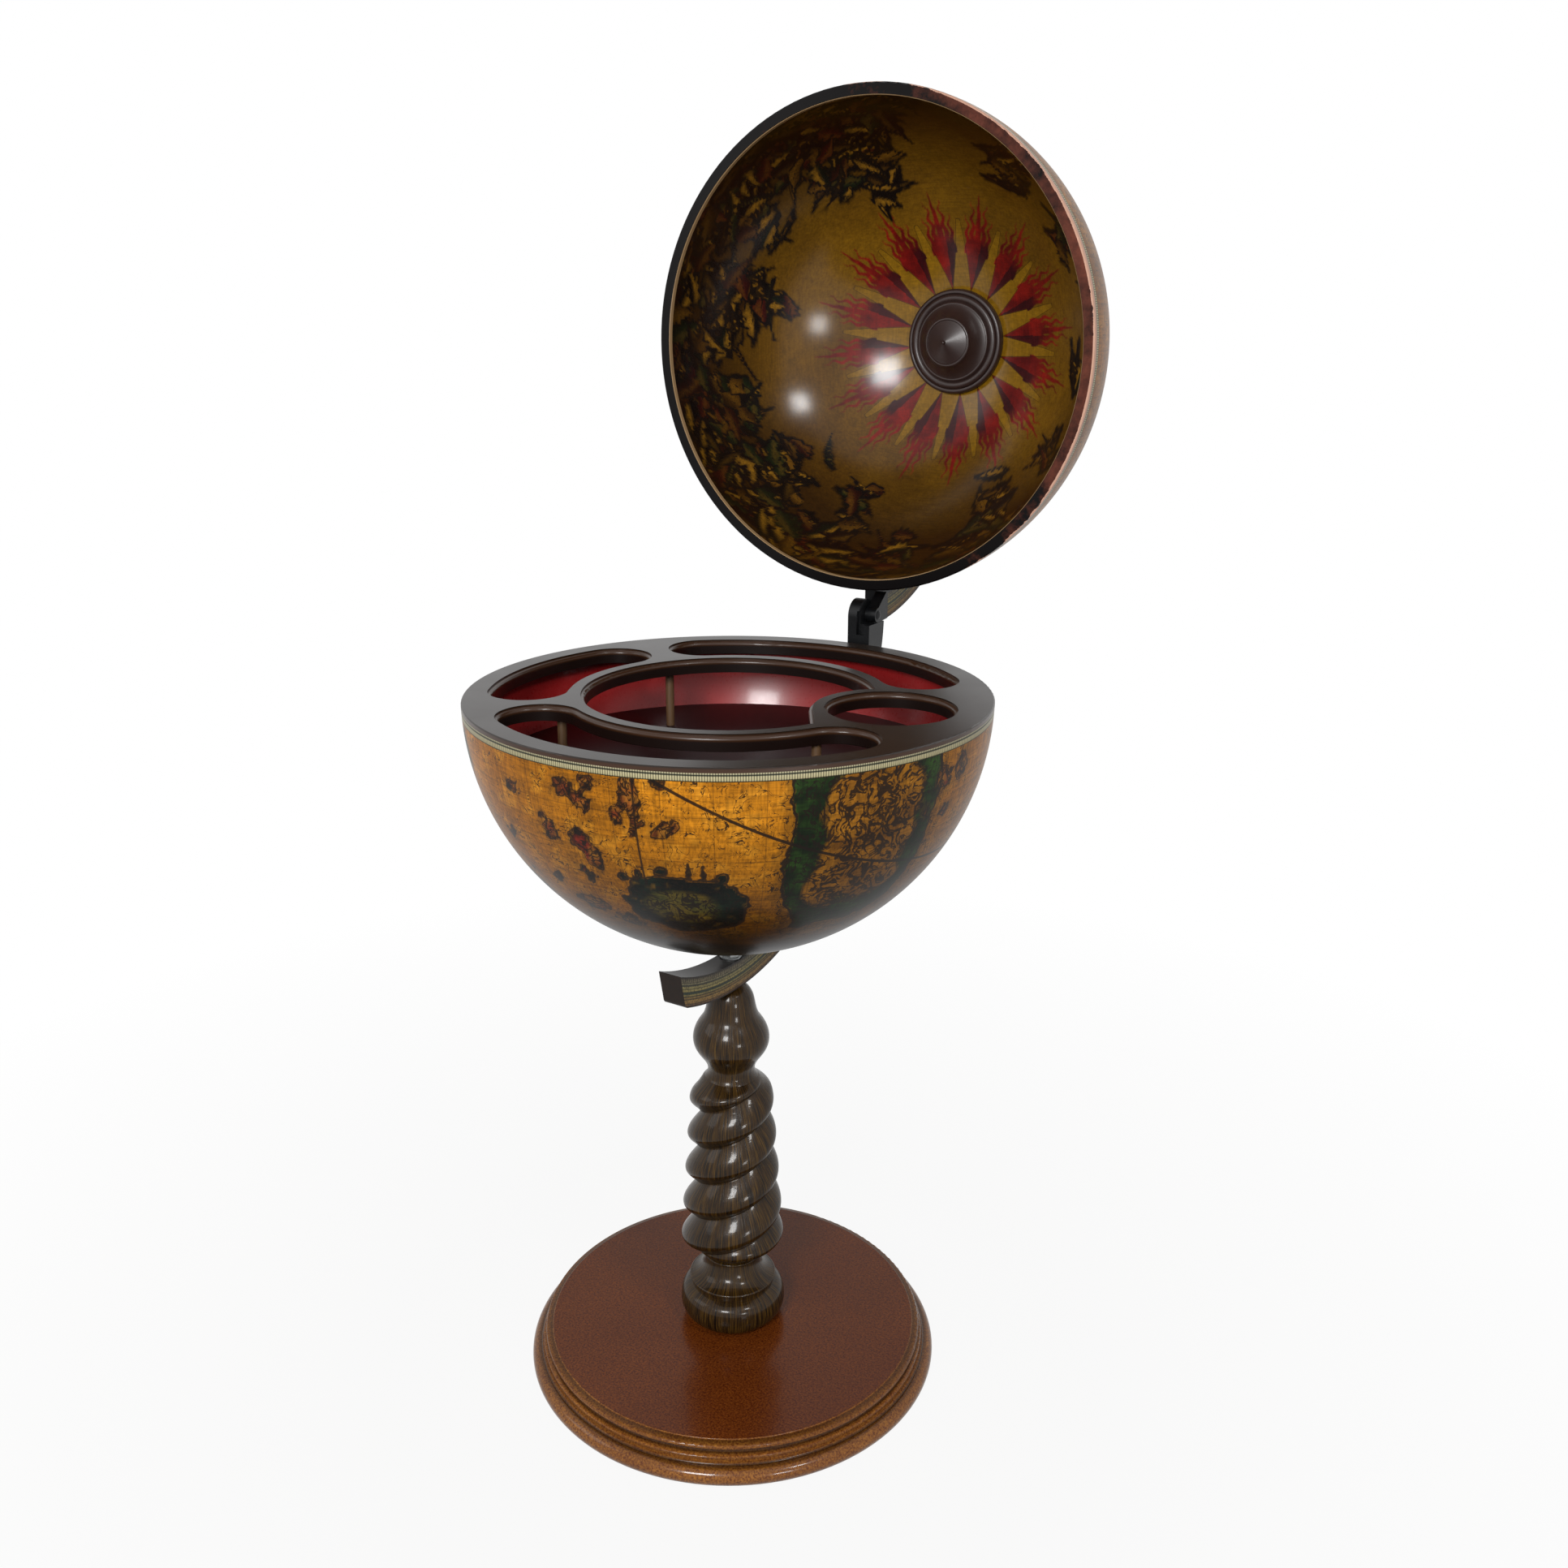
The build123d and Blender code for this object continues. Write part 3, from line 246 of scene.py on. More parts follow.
def strip_material(name, centre):
    """The strip's finish for an arc round a centre: colours by the distance from it, and ticks by
    the angle there."""
    material, tree, shader, place = new_finish(name)
    out = add(tree, "VectorMath", "SUBTRACT", {0: place, 1: tuple(centre)})
    flat = add(tree, "VectorMath", "MULTIPLY", {0: out, 1: (0.0, 1.0, 1.0)})
    reach = add(tree, "VectorMath", "LENGTH", {0: flat}).outputs["Value"]
    across = add(tree, "MapRange", {}, {
        "Value": reach, "From Min": strip_inner, "From Max": strip_outer})
    bands = add(tree, "ValToRGB", {}, {0: across})
    fill(bands, (
        (0.0, "#1c140e"), (0.05, "#2a2219"), (0.09, "#5f5642"), (0.18, "#746a50"),
        (0.20, "#1d1a14"), (0.22, "#8d8462"), (0.26, "#3c3a2c"), (0.30, "#22251c"),
        (0.32, "#857a4e"), (0.38, "#7c7248"), (0.40, "#1c1a13"), (0.42, "#8e8250"),
        (0.47, "#847645"), (0.49, "#1d241a"), (0.56, "#24301f"), (0.60, "#8b7a44"),
        (0.64, "#181610"), (0.68, "#7d6434"), (0.74, "#1f1a12"), (0.76, "#866a38"),
        (0.86, "#7a5c30"), (0.89, "#19120b"), (0.91, "#6a4b26"), (0.95, "#2c1c10"),
        (1.0, "#1a100a")))
    parts = add(tree, "SeparateXYZ", {}, {0: flat})
    turn = add(tree, "Math", "ARCTAN2", {0: parts.outputs["Y"], 1: parts.outputs["Z"]})
    # ticks every 0.75 degrees, on the inner fifth of the strip only
    ticks = add(tree, "Math", "MULTIPLY", {0: turn, 1: 180 / np.pi / 0.75})
    ticks = add(tree, "Math", "PINGPONG", {0: ticks, 1: 0.5})
    ticks = add(tree, "MapRange", {}, {"Value": ticks, "From Min": 0.12, "From Max": 0.2})
    beyond = add(tree, "MapRange", {}, {"Value": across, "From Min": 0.20, "From Max": 0.24})
    ticks = add(tree, "Math", "MAXIMUM", {0: ticks, 1: beyond})
    bands = add(tree, "Mix", rgba, {"Factor": ticks, "A": "#2c261e", "B": bands})
    wear = add(tree, "TexNoise", {}, {
        "Vector": place, "Scale": 1000 / 5, "Detail": 5.0, "Roughness": 0.7})
    worn = add(tree, "MapRange", {}, {
        "Value": wear, "From Min": 0.5, "From Max": 0.75, "To Max": 0.6})
    bands = add(tree, "Mix", rgba, {"Factor": worn, "A": bands, "B": "#2b2114"})
    dots = add(tree, "TexNoise", {}, {"Vector": place, "Scale": 1000 / 1.3, "Detail": 2.0})
    dots = add(tree, "MapRange", {}, {
        "Value": dots, "From Min": 0.40, "From Max": 0.54, "To Min": 0.45, "To Max": 1.1})
    bands = add(tree, "VectorMath", "SCALE", {0: bands, "Scale": dots})
    facing = add(tree, "SeparateXYZ", {}, {0: add(tree, "NewGeometry").outputs["Normal"]})
    side = add(tree, "Math", "ABSOLUTE", {0: facing.outputs["X"]})
    side = add(tree, "Math", "GREATER_THAN", {0: side, 1: 0.7})
    stained = add(tree, "Mix", rgba, {"Factor": wear, "A": "#0a0705", "B": "#23160e"})
    whole = add(tree, "Mix", rgba, {"Factor": side, "A": stained, "B": bands})
    bump = add(tree, "Bump", {}, {"Height": wear, "Strength": 0.1, "Distance": 0.0003})
    add(tree, shader, {}, {
        "Base Color": whole, "Roughness": 0.40, "Specular IOR Level": 0.12, "Coat Weight": 0.05,
        "Coat Roughness": 0.2, "Normal": bump})
    return material


coat(strip_material("printed_strip_lower", bowl_centre + toward_pole * bowl_pole), "lower_meridian")
coat(strip_material("printed_strip_upper", lid_centre + toward_pole * lid_pole), "upper_meridian")

# Hinge, its screws and pin, and the sleeves at the poles: steel under black satin enamel, which has
# a slight orange peel and is rubbed a little at its high places.
material, tree, shader, place = new_finish("black_enamelled_steel")
peel = add(tree, "TexNoise", {}, {"Vector": place, "Scale": 1000 / 1.5, "Detail": 3.0})
rub = add(tree, "TexNoise", {}, {
    "Vector": place, "Scale": 1000 / 14, "Detail": 6.0, "Roughness": 0.7})
rubbed = add(tree, "MapRange", {}, {"Value": rub, "From Min": 0.6, "From Max": 0.7, "To Max": 0.35})
shade = add(tree, "Mix", rgba, {"Factor": rubbed, "A": "#08090b", "B": "#222426"})
rough = add(tree, "MapRange", {}, {"Value": rub, "To Min": 0.3, "To Max": 0.5})
bump = add(tree, "Bump", {}, {"Height": peel, "Strength": 0.12, "Distance": 0.0002})
add(tree, shader, {}, {
    "Base Color": shade, "Roughness": rough, "Specular IOR Level": 0.25, "Normal": bump})
coat(material, "hinge_bracket", "bracket_screws", "hinge_pin", "hinge_leaf", "leaf_screws",
     "pole_sleeve", "upper_pole_sleeve")

# Tie rod, pivot bolt, nuts, washers and post screws: steel, bright zinc-plated, its gloss clouded
# by handling and by the spangle of the plating.
material, tree, shader, place = new_finish("zinc_plated_steel")
spangle = add(tree, "TexNoise", {}, {"Vector": place, "Scale": 1000 / 2.5, "Detail": 4.0})
shade = add(tree, "Mix", rgba, {"Factor": spangle, "A": "#8d9092", "B": "#b9bbba"})
rough = add(tree, "MapRange", {}, {"Value": spangle, "To Min": 0.25, "To Max": 0.42})
add(tree, shader, {}, {"Base Color": shade, "Metallic": 1.0, "Roughness": rough})
coat(material, "base_washer", "base_nut", "tie_rod", "clamp_washer", "clamp_nut", "lock_washer",
     "lock_nut", "post_screws", "pivot_bolt", "upper_clamp_washer", "upper_clamp_nut",
     "upper_lock_washer", "upper_lock_nut")

# Bushes and glide washers: turned brass, pressed into the pole blocks or laid on the spindles.  It
# is dulled by air and handling, browner where it is rough.
material, tree, shader, place = new_finish("turned_brass")
dull = add(tree, "TexNoise", {}, {"Vector": place, "Scale": 1000 / 4, "Detail": 4.0})
shade = add(tree, "Mix", rgba, {"Factor": dull, "A": "#8c6a2c", "B": "#c49a4a"})
rough = add(tree, "MapRange", {}, {"Value": dull, "To Min": 0.25, "To Max": 0.45})
add(tree, shader, {}, {"Base Color": shade, "Metallic": 1.0, "Roughness": rough})
coat(material, "bowl_bush", "glide_washer", "lid_bush", "upper_glide_washer")

# Half globes: shells of pressed wood fibre.  Outside, varnished paper printed with an old-style map
# of made-up lands: ochre seas, green coasts, engraved hills, dark islands and an oval panel.
globe, inside = 200.0, 196.0    # the shells' outer and inner radius, in millimetres
skin_outer, skin_inner = 0.1999, 0.1995    # the printed skin's, in metres
right = np.array((1.0, 0, 0))


def turned_shell(name, profile, columns, centre, pole, side):
    """A closed profile of (radius, height) carried round a pole: the point at angle t is
    centre + height * pole + radius * (cos t * side + sin t * (pole x side))."""
    t = np.arange(columns) * 2 * np.pi / columns
    spoke = np.cos(t)[:, None] * side + np.sin(t)[:, None] * np.cross(pole, side)
    points = centre + profile[:, 1, None, None] * pole + profile[:, 0, None, None] * spoke
    i, j = np.meshgrid(np.arange(len(profile)), np.arange(columns), indexing="ij")
    i2, j2 = (i + 1) % len(profile), (j + 1) % columns
    faces = np.stack([i * columns + j, i * columns + j2, i2 * columns + j2, i2 * columns + j],
                     axis=-1).reshape(-1, 4)
    points = points.reshape(-1, 3)
    # a negative volume says that the faces point inwards
    a, b, c, d = (points[faces[:, k]] for k in range(4))
    if np.einsum("ij,ij->i", a, np.cross(b - a, c - a) + np.cross(c - a, d - a)).sum() < 0:
        faces = faces[:, ::-1]
    mesh = bpy.data.meshes.new(name)
    mesh.vertices.add(len(points))
    mesh.vertices.foreach_set("co", points.ravel())
    mesh.loops.add(faces.size)
    mesh.loops.foreach_set("vertex_index", faces.ravel())
    mesh.polygons.add(len(faces))
    mesh.polygons.foreach_set("loop_start", np.arange(0, faces.size, 4))
    mesh.update(calc_edges=True)
    # narrow rings beside a corner of 60 degrees or more are flat, and all others smooth
    steps = np.linalg.norm(np.roll(profile, -1, axis=0) - profile, axis=1)
    turns = profile - np.roll(profile, 1, axis=0)
    turns = turns / np.maximum(np.linalg.norm(turns, axis=1), 1e-9)[:, None]
    sharp = (turns * np.roll(turns, -1, axis=0)).sum(axis=1) < 0.5
    flat = (sharp | np.roll(sharp, -1)) & (steps < 0.006)
    mesh.polygons.foreach_set("use_smooth", np.repeat(~flat, columns))
    piece = bpy.data.objects.new(name, mesh)
    bpy.context.collection.objects.link(piece)
    return piece, points


def arc(radius, low, high, count):
    """Points of a circle in the profile, from one angle off the pole to another, in degrees."""
    a = np.radians(np.linspace(low, high, count))
    return np.c_[radius * np.sin(a), radius * np.cos(a)]


def wander(points, size, seed):
    """Value noise: random numbers from -1 to 1 at the corners of a cubic lattice, blended in each
    cell by 3f^2 - 2f^3, then half of it again at half the size, and a quarter at a quarter."""
    table = np.random.default_rng(seed).uniform(-1, 1, 4096)
    total = np.zeros(len(points))
    for finer in (1, 2, 4):
        place = points * finer / size
        cell = np.floor(place).astype(np.int64)
        f = place - cell
        f = f * f * (3 - 2 * f)
        for corner in np.ndindex(2, 2, 2):
            keys = (cell + corner) * (73856093, 19349663, 83492791)
            weight = np.where(corner, f, 1 - f).prod(axis=1)
            total += weight * table[(keys[:, 0] ^ keys[:, 1] ^ keys[:, 2]) & 4095] / finer
    return total / 1.75


def blend(a, b, share):
    """Colours a + (b - a) * share, with share kept from 0 to 1."""
    share = np.clip(share, 0, 1)[:, None]
    return np.asarray(paint(a))[..., :3] * (1 - share) + np.asarray(paint(b))[..., :3] * share


def patch(azimuth, latitude, az, lat, along, across, tilt, power=2):
    """Distance in millimetres inside a rounded patch on the globe, about
    (1 - (|x / along|^power + |y / across|^power)^(1/power)) * min(along, across), x and y turned by
    the tilt: power 2 is an ellipse, and 4 is squarer."""
    x = globe * np.cos(np.radians(lat)) * np.radians((azimuth - az + 180) % 360 - 180)
    y = globe * np.radians(latitude - lat)
    c, s = np.cos(np.radians(tilt)), np.sin(np.radians(tilt))
    far = np.abs((c * x + s * y) / along) ** power + np.abs((c * y - s * x) / across) ** power
    return (1 - far ** (1 / power)) * min(along, across)


def map_outlines(p, azimuth, latitude, lands, isles, panel, seed):
    """Distances in millimetres inside the coasts, the islands, the panel's frame and its middle:
    the deepest of each one's patches, made ragged by noise."""
    def deepest(patches):
        return np.max([patch(azimuth, latitude, *one) for one in patches], axis=0)

    coast = deepest(lands) + wander(p, 24, seed) * 10 + wander(p, 9, seed + 8) * 3.5
    isle = deepest(isles) + wander(p, 4, seed + 1) * 5 + wander(p, 9, seed + 11) * 5 - 0.2
    az, lat, along, across = panel[:4]
    crest = deepest([(az + step, lat + 10.4 - step ** 2 / 60, *size, 0) for step, *size in (
        (-9, 2.0, 4), (-4, 4.5, 3.6), (2, 1.2, 5), (5, 1.2, 4), (9, 4.0, 4), (-13, 4, 3.4))])
    scroll = deepest([
        (az + 13.2 * np.cos(turn), lat + 8 * np.sin(turn), size, size * 0.6, 40 * turn)
        for turn, size in ((0.1, 6), (0.7, 7), (2.4, 7), (3.1, 6), (3.8, 7), (5.5, 7))])
    oval = patch(azimuth, latitude, *panel, 2.6) + wander(p, 13, seed + 2) * 4 - 1.5
    oval = np.maximum(oval, np.maximum(crest, scroll)) + wander(p, 5, seed + 6) * 1.6
    middle = patch(azimuth, latitude, az - 0.6, lat - 0.2, along * 0.6, across * 0.55, 0)
    return coast, isle, oval, middle + wander(p, 8, seed + 7) * 2


def map_fields(p, lands, isles, panel, seed, cap):
    """The map's lines and colours at points p, in millimetres from the globe's centre, its pole at
    -Z: distances from coast, island and panel edges, great circles, and the printed colour.
    Painted shade darkens it round the pole, from the latitude of the cap on, and along one side."""
    azimuth = np.degrees(np.arctan2(p[:, 1], p[:, 0]))
    latitude = np.degrees(np.arcsin(np.clip(p[:, 2] / np.linalg.norm(p, axis=1), -1, 1)))
    coast, isle, oval, middle = map_outlines(p, azimuth, latitude, lands, isles, panel, seed)
    clouds = wander(p, 70, seed + 3)
    fine = wander(p, 12, seed + 4)
    dotted = fine > 0.15

    # the sea, darker along the coasts
    colour = blend("#b37216", "#84500e", 0.5 + 0.9 * clouds)
    colour = blend(colour, "#c98a28", 0.35 * dotted)
    colour = blend(colour, "#6f4812", (-7 < coast) * (coast < 0) * 0.55)
    # the lands, green for about 18 mm from the coast and hilly farther in
    green = blend("#101c0c", "#2c4818", 0.35 + 1.5 * fine)
    inland = coast - (18 + 6 * wander(p, 30, seed + 5))
    hills = blend("#a46c1c", "#734814", 0.5 + 1.0 * fine)
    hills = blend(hills, "#6e6a30", 0.8 * (clouds > 0.3))
    land = blend(green, hills, inland / 4 + 0.5)
    colour = blend(colour, land, coast / 1.5 + 0.5)
    # the islands, dark with an ochre or red middle
    colour = blend(colour, "#5a3c16", 0.35 * (isle > -3) * (isle < 0))
    dark = blend("#100a06", "#5a2c14", 0.3 + 1.6 * wander(p, 5, seed + 9))
    dark = blend(dark, blend("#8a5a1e", "#6a2014", 0.5 + 2 * fine), (isle - 2) / 1.2)
    colour = blend(colour, dark, isle / 1.2 + 0.5)
    # the panel, a dark gilt frame round a green-brown middle
    gilt = blend("#060806", "#14261c", 0.3 + fine)
    gilt = blend(gilt, "#7a5a1e", 2.6 * wander(p, 5, seed + 10) - 0.9)
    colour = blend(colour, gilt, oval / 1.5 + 0.5)
    colour = blend(colour, blend("#7a6220", "#3a4220", 0.5 + fine), middle / 5 + 0.4)
    # painted shade: the colour darkens along one side and round the pole, nearly to black past the
    # cap
    turned = (azimuth + 280) % 360 - 180
    side_shade = 0.34 * np.clip((turned - 32) / 48, 0, 1) * np.clip((180 - turned) / 60, 0, 1)
    pole_shade = 0.62 * np.clip((cap + 28 - latitude) / 30, 0, 1)
    colour = colour * ((1 - side_shade) * (1 - pole_shade))[:, None]
    colour = blend(colour, "#130c07", 0.92 * (cap - latitude + 7 * clouds + 4 * fine) / 14)

    engraved = np.select([oval > 0, isle > 0, inland > -3, coast > 0, coast > -7],
                         [0.2 + 0.5 * (middle > 0), 0.55, 0.85 + 0.8 * fine, 0.35, 0.24],
                         0.07 + 0.14 * dotted)
    # the sine of 18 turns is nought every 10 degrees, and its slope there is 1 mm to the millimetre
    wave = globe / 18
    prime = (np.abs(azimuth + 75) < 60) & (latitude > -27)
    return {"coast": coast, "inland": inland, "isle": isle, "oval": oval,
            "edge": globe * np.radians(-latitude), "engraved": engraved,
            "meridian": np.sin(np.radians(18 * azimuth)) * wave * np.cos(np.radians(latitude)),
            "parallel": np.sin(np.radians(18 * latitude)) * wave,
            "ecliptic": p @ (-0.4729, -0.1147, -0.8736),
            "prime": np.where(prime, p @ (0.9668, 0.2554, 0.0), 40.0)}, colour


def keep(piece, fields, colour):
    """Puts the fields and the colour on the mesh's points."""
    for name, values in fields.items():
        attribute = piece.data.attributes.new(name, "FLOAT", "POINT")
        attribute.data.foreach_set("value", np.asarray(values, np.float32))
    attribute = piece.data.attributes.new("printed", "FLOAT_COLOR", "POINT")
    opaque = np.c_[colour, np.ones(len(colour))].astype(np.float32)
    attribute.data.foreach_set("color", opaque.ravel())


def unroll(piece, columns, rows):
    """The UV map "globe": turns round the pole across it, and the profile's points up it."""
    uv = piece.data.uv_layers.new(name="globe")
    loops = np.empty(len(piece.data.loops), np.int64)
    piece.data.loops.foreach_get("vertex_index", loops)
    row, column = np.divmod(loops, columns)
    turn = column.reshape(-1, 4)
    seam = (turn.max(axis=1) - turn.min(axis=1) > 1)[:, None] & (turn == 0)
    turn = np.where(seam, columns, turn)
    uv.data.foreach_set("uv", np.c_[turn.ravel() / columns, row / rows].ravel())


def aged_paper(tree, place, threads_along, weave_tones, soil_size, soil_tones):
    """The printed colour toned by the backing's linen weave and by soil, and the weave.  The weave
    is the sum of two noises about 1.6 mm across, each drawn out along its threads."""
    threads = []
    for scale in threads_along:
        drawn = add(tree, "Mapping", {}, {"Vector": place, "Scale": scale})
        threads.append(add(tree, "TexNoise", {}, {"Vector": drawn, "Scale": 1000 / 1.6,
                                                  "Detail": 2.0}))
    weave = add(tree, "Math", "ADD", {0: threads[0], 1: threads[1]})
    woven = add(tree, "MapRange", {}, {
        "Value": weave, "From Min": 0.75, "From Max": 1.25, "To Min": weave_tones[0],
        "To Max": weave_tones[1]})
    soil = add(tree, "TexNoise", {}, {
        "Vector": place, "Scale": 1000 / soil_size, "Detail": 6.0, "Roughness": 0.65})
    soiled = add(tree, "MapRange", {}, {
        "Value": soil, "From Min": 0.3, "From Max": 0.75, "To Min": soil_tones[0],
        "To Max": soil_tones[1]})
    tone = add(tree, "Math", "MULTIPLY", {0: woven, 1: soiled})
    printed = add(tree, "Attribute", {"attribute_name": "printed"}).outputs["Color"]
    return add(tree, "VectorMath", "SCALE", {0: printed, "Scale": tone}), weave


def off_middle(tree, noise):
    """How far a noise is from its middle value, so that a pen stroke lies where this is nought."""
    off = add(tree, "Math", "SUBTRACT", {0: noise, 1: 0.5})
    return add(tree, "Math", "ABSOLUTE", {0: off})


def ink_lines(tree, ink, shake, inner, outer, lines):
    """The ink with lines added where the field of each name is nought, wavering by shake * jitter.
    A line's weight fades from its half width less inner to its half width plus outer."""
    for name, width, weight, jitter in lines:
        field = add(tree, "Attribute", {"attribute_name": name}).outputs["Fac"]
        line = add(tree, "Math", "MULTIPLY_ADD", {0: shake, 1: jitter, 2: field})
        line = add(tree, "Math", "ABSOLUTE", {0: line})
        line = add(tree, "MapRange", {}, {
            "Value": line, "From Min": width - inner, "From Max": width + outer, "To Min": weight,
            "To Max": 0.0})
        ink = add(tree, "Math", "MAXIMUM", {0: ink, 1: line})
    return ink


# lands and islands: azimuth and latitude, half lengths in millimetres, and tilt
bowl_lands = [(-28.5, -17, 57, 88, 0, 4), (38, -14, 52, 38, 20), (60, -38, 38, 34, 0),
              (108, -8, 62, 26, 0), (124, -33, 34, 30, 0), (168, -22, 48, 44, -20),
              (217, -12, 50, 34, 10), (232, -40, 34, 26, 0)]
lid_lands = [(-140, -14, 66, 46, -10), (-154, -40, 46, 30, 40), (-72, -16, 66, 40, 12),
             (-44, -42, 50, 28, -30), (30, -34, 38, 24, 20), (-110, -64, 40, 22, 0),
             (98, -18, 70, 42, -12), (128, -46, 40, 24, 60), (166, -12, 50, 28, 0),
             (178, -50, 40, 22, 30), (20, -62, 34, 20, 10)]
bowl_isles = [(-90, -6.2, 8, 5.5, 20), (-84.6, -4.6, 6.5, 5, 0), (-86.6, -9, 7, 4.5, -30),
              (-75.8, -5.6, 7, 16, 6), (-79, -10.2, 5, 6, 0), (-74.9, -12.6, 5.5, 5, 0),
              (-69.8, -13, 11, 6, 18), (-70.5, -3.6, 7, 5, 0), (-96.5, -16.5, 6, 10, 24),
              (-88.6, -17.6, 8, 10, 0), (-86.5, -21.2, 7, 10, 12), (-90, -25.4, 5, 9, 18),
              (-9.5, -8.0, 8, 8, 0), (-3, -7, 6, 9, 0), (-7, -16, 7, 5, 10),
              (-105, -9, 5, 4, 0), (-112, -22, 7, 5, 30), (-101, -30, 5, 5, 0),
              (-93, -36, 12, 8, 0), (-84, -40, 9, 7, 0)]
random = np.random.default_rng(11)
bowl_isles += [(random.uniform(-20, 250), random.uniform(-62, -5), random.uniform(3, 8),
                random.uniform(3, 6), random.uniform(0, 180)) for _ in range(48)]
lid_isles = [(random.uniform(-180, 180), random.uniform(-64, -5), random.uniform(3, 8),
              random.uniform(3, 6), random.uniform(0, 180)) for _ in range(60)]

map_paper, tree, shader, place = new_finish("varnished_map_paper")
# the linen's threads are level and upright
paper, weave = aged_paper(tree, place, ((1.0, 1.0, 0.07), (0.07, 0.07, 1.0)), (0.6, 1.24), 9,
                          (1.18, 0.72))
squiggle = add(tree, "TexNoise", {}, {
    "Vector": place, "Scale": 1000 / 12, "Detail": 3.0, "Roughness": 0.55, "Distortion": 1.6})
engraved = add(tree, "Attribute", {"attribute_name": "engraved"}).outputs["Fac"]
width = add(tree, "MapRange", {}, {"Value": engraved, "To Min": 0.002, "To Max": 0.075})
strokes = add(tree, "Math", "DIVIDE", {0: off_middle(tree, squiggle), 1: width})
strokes = add(tree, "MapRange", {}, {
    "Value": strokes, "From Min": 0.7, "From Max": 1.3, "To Min": 0.92, "To Max": 0.0})
shake = add(tree, "TexNoise", {}, {"Vector": place, "Scale": 1000 / 3.5, "Detail": 3.0})
shake = add(tree, "MapRange", {}, {"Value": shake, "To Min": -1.1, "To Max": 1.1})
ink = ink_lines(tree, strokes, shake, 0.25, 0.25, (
    ("coast", 0.95, 0.95, 1.2), ("inland", 0.5, 0.5, 1.0), ("isle", 0.6, 0.9, 1.0),
    ("oval", 0.8, 0.9, 1.0), ("ecliptic", 1.15, 0.95, 0.12), ("prime", 0.75, 0.9, 0.12),
    ("meridian", 0.35, 0.42, 0.0), ("parallel", 0.35, 0.42, 0.0)))
inked = add(tree, "Mix", rgba, {"Factor": ink, "A": paper, "B": "#150e0a"})
# scale border under the rim: 9.6 mm of grey-green with a line, and ticks every half degree
uv = add(tree, "UVMap", {"uv_map": "globe"})
turn = add(tree, "SeparateXYZ", {}, {0: uv})
ticks = add(tree, "Math", "MULTIPLY", {0: turn.outputs["X"], 1: 720.0})
ticks = add(tree, "Math", "PINGPONG", {0: ticks, 1: 0.5})
ticks = add(tree, "MapRange", {}, {
    "Value": ticks, "From Min": 0.15, "From Max": 0.35, "To Min": 0.35, "To Max": 1.0})
edge = add(tree, "Attribute", {"attribute_name": "edge"}).outputs["Fac"]
down = add(tree, "MapRange", {}, {"Value": edge, "From Max": 10.0})
border = add(tree, "ValToRGB", {}, {0: down})
fill(border, (
    (0.0, "#7a745e"), (0.08, "#4c4836"), (0.14, "#9a937a"), (0.42, "#a59e80"), (0.48, "#34362c"),
    (0.54, "#34362c"), (0.60, "#aea684"), (0.86, "#a49c78"), (0.92, "#2c2a1c"), (1.0, "#2c2a1c")))
border = add(tree, "VectorMath", "SCALE", {0: border, "Scale": ticks})
below = add(tree, "Math", "GREATER_THAN", {0: edge, 1: 9.6})
colour = add(tree, "Mix", rgba, {"Factor": below, "A": border, "B": inked})
bump = add(tree, "Bump", {}, {"Height": weave, "Strength": 0.10, "Distance": 0.0003})
add(tree, shader, {}, {
    "Base Color": colour, "Roughness": 0.34, "Specular IOR Level": 0.08, "Coat Weight": 0.04,
    "Coat Roughness": 0.1, "Normal": bump})

# a skin runs from the pole's flat to just under the tray's lip or the rim's ring
for name, node, body, centre, pole, edge, columns, rings, lands, isles, panel, seed, cap in (
        ("bowl_map", "bowl_shell", "bowl", bowl_centre, bowl_pole, 88.99, 720, 122,
         bowl_lands, bowl_isles, (-67.5, -33, 43, 32, 0), 3, -37),
        ("lid_map", "lid_shell", "lid", lid_centre, lid_pole, 88.70, 560, 112,
         lid_lands, lid_isles, (62, -36, 40, 30, 0), 23, -68)):
    profile = np.r_[arc(skin_outer, 4.65, edge, rings), arc(skin_inner, edge, 4.65, 8)]
    piece, points = turned_shell(name, profile, columns, centre, pole, right)
    own = (points - centre) * 1000
    own = np.c_[own @ right, -(own @ np.cross(pole, right)), -(own @ pole)]
    keep(piece, *map_fields(own, lands, isles, panel, seed, cap))
    unroll(piece, columns, len(profile))
    piece.data.materials.append(map_paper)
    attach(piece, body)
    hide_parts(node)

# Bowl lining: the wood-fibre shell itself, bored at the pole for its bush, under dark red gloss
# paint laid on with a brush.  Its cloudy red is even, with a faint ripple in the gloss.
shell_outer = 0.19945    # in metres, just under the printed skin
bore, flat, flat_height = 0.00605, 0.0159, 0.19936    # radii of the bore and the flat at the pole
material, tree, shader, place = new_finish("red_gloss_paint")
cloud = add(tree, "TexNoise", {}, {"Vector": place, "Scale": 1000 / 45, "Detail": 4.0})
fibre = add(tree, "TexNoise", {}, {"Vector": place, "Scale": 1000 / 3, "Detail": 3.0})
shade = add(tree, "Mix", rgba, {"Factor": cloud, "A": "#64090c", "B": "#951c1c"})
rough = add(tree, "MapRange", {}, {"Value": fibre, "To Min": 0.22, "To Max": 0.36})
bump = add(tree, "Bump", {}, {"Height": fibre, "Strength": 0.03, "Distance": 0.0002})
add(tree, shader, {}, {
    "Base Color": shade, "Roughness": rough, "Specular IOR Level": 0.3, "Coat Weight": 0.25,
    "Coat Roughness": 0.12, "Normal": bump})
low = np.degrees(np.arcsin(bore * 1000 / inside))
profile = np.r_[[(bore, flat_height), (flat, flat_height)], arc(shell_outer, 4.6, 89.0, 30),
                arc(inside / 1000, 88.977, low, 60)]
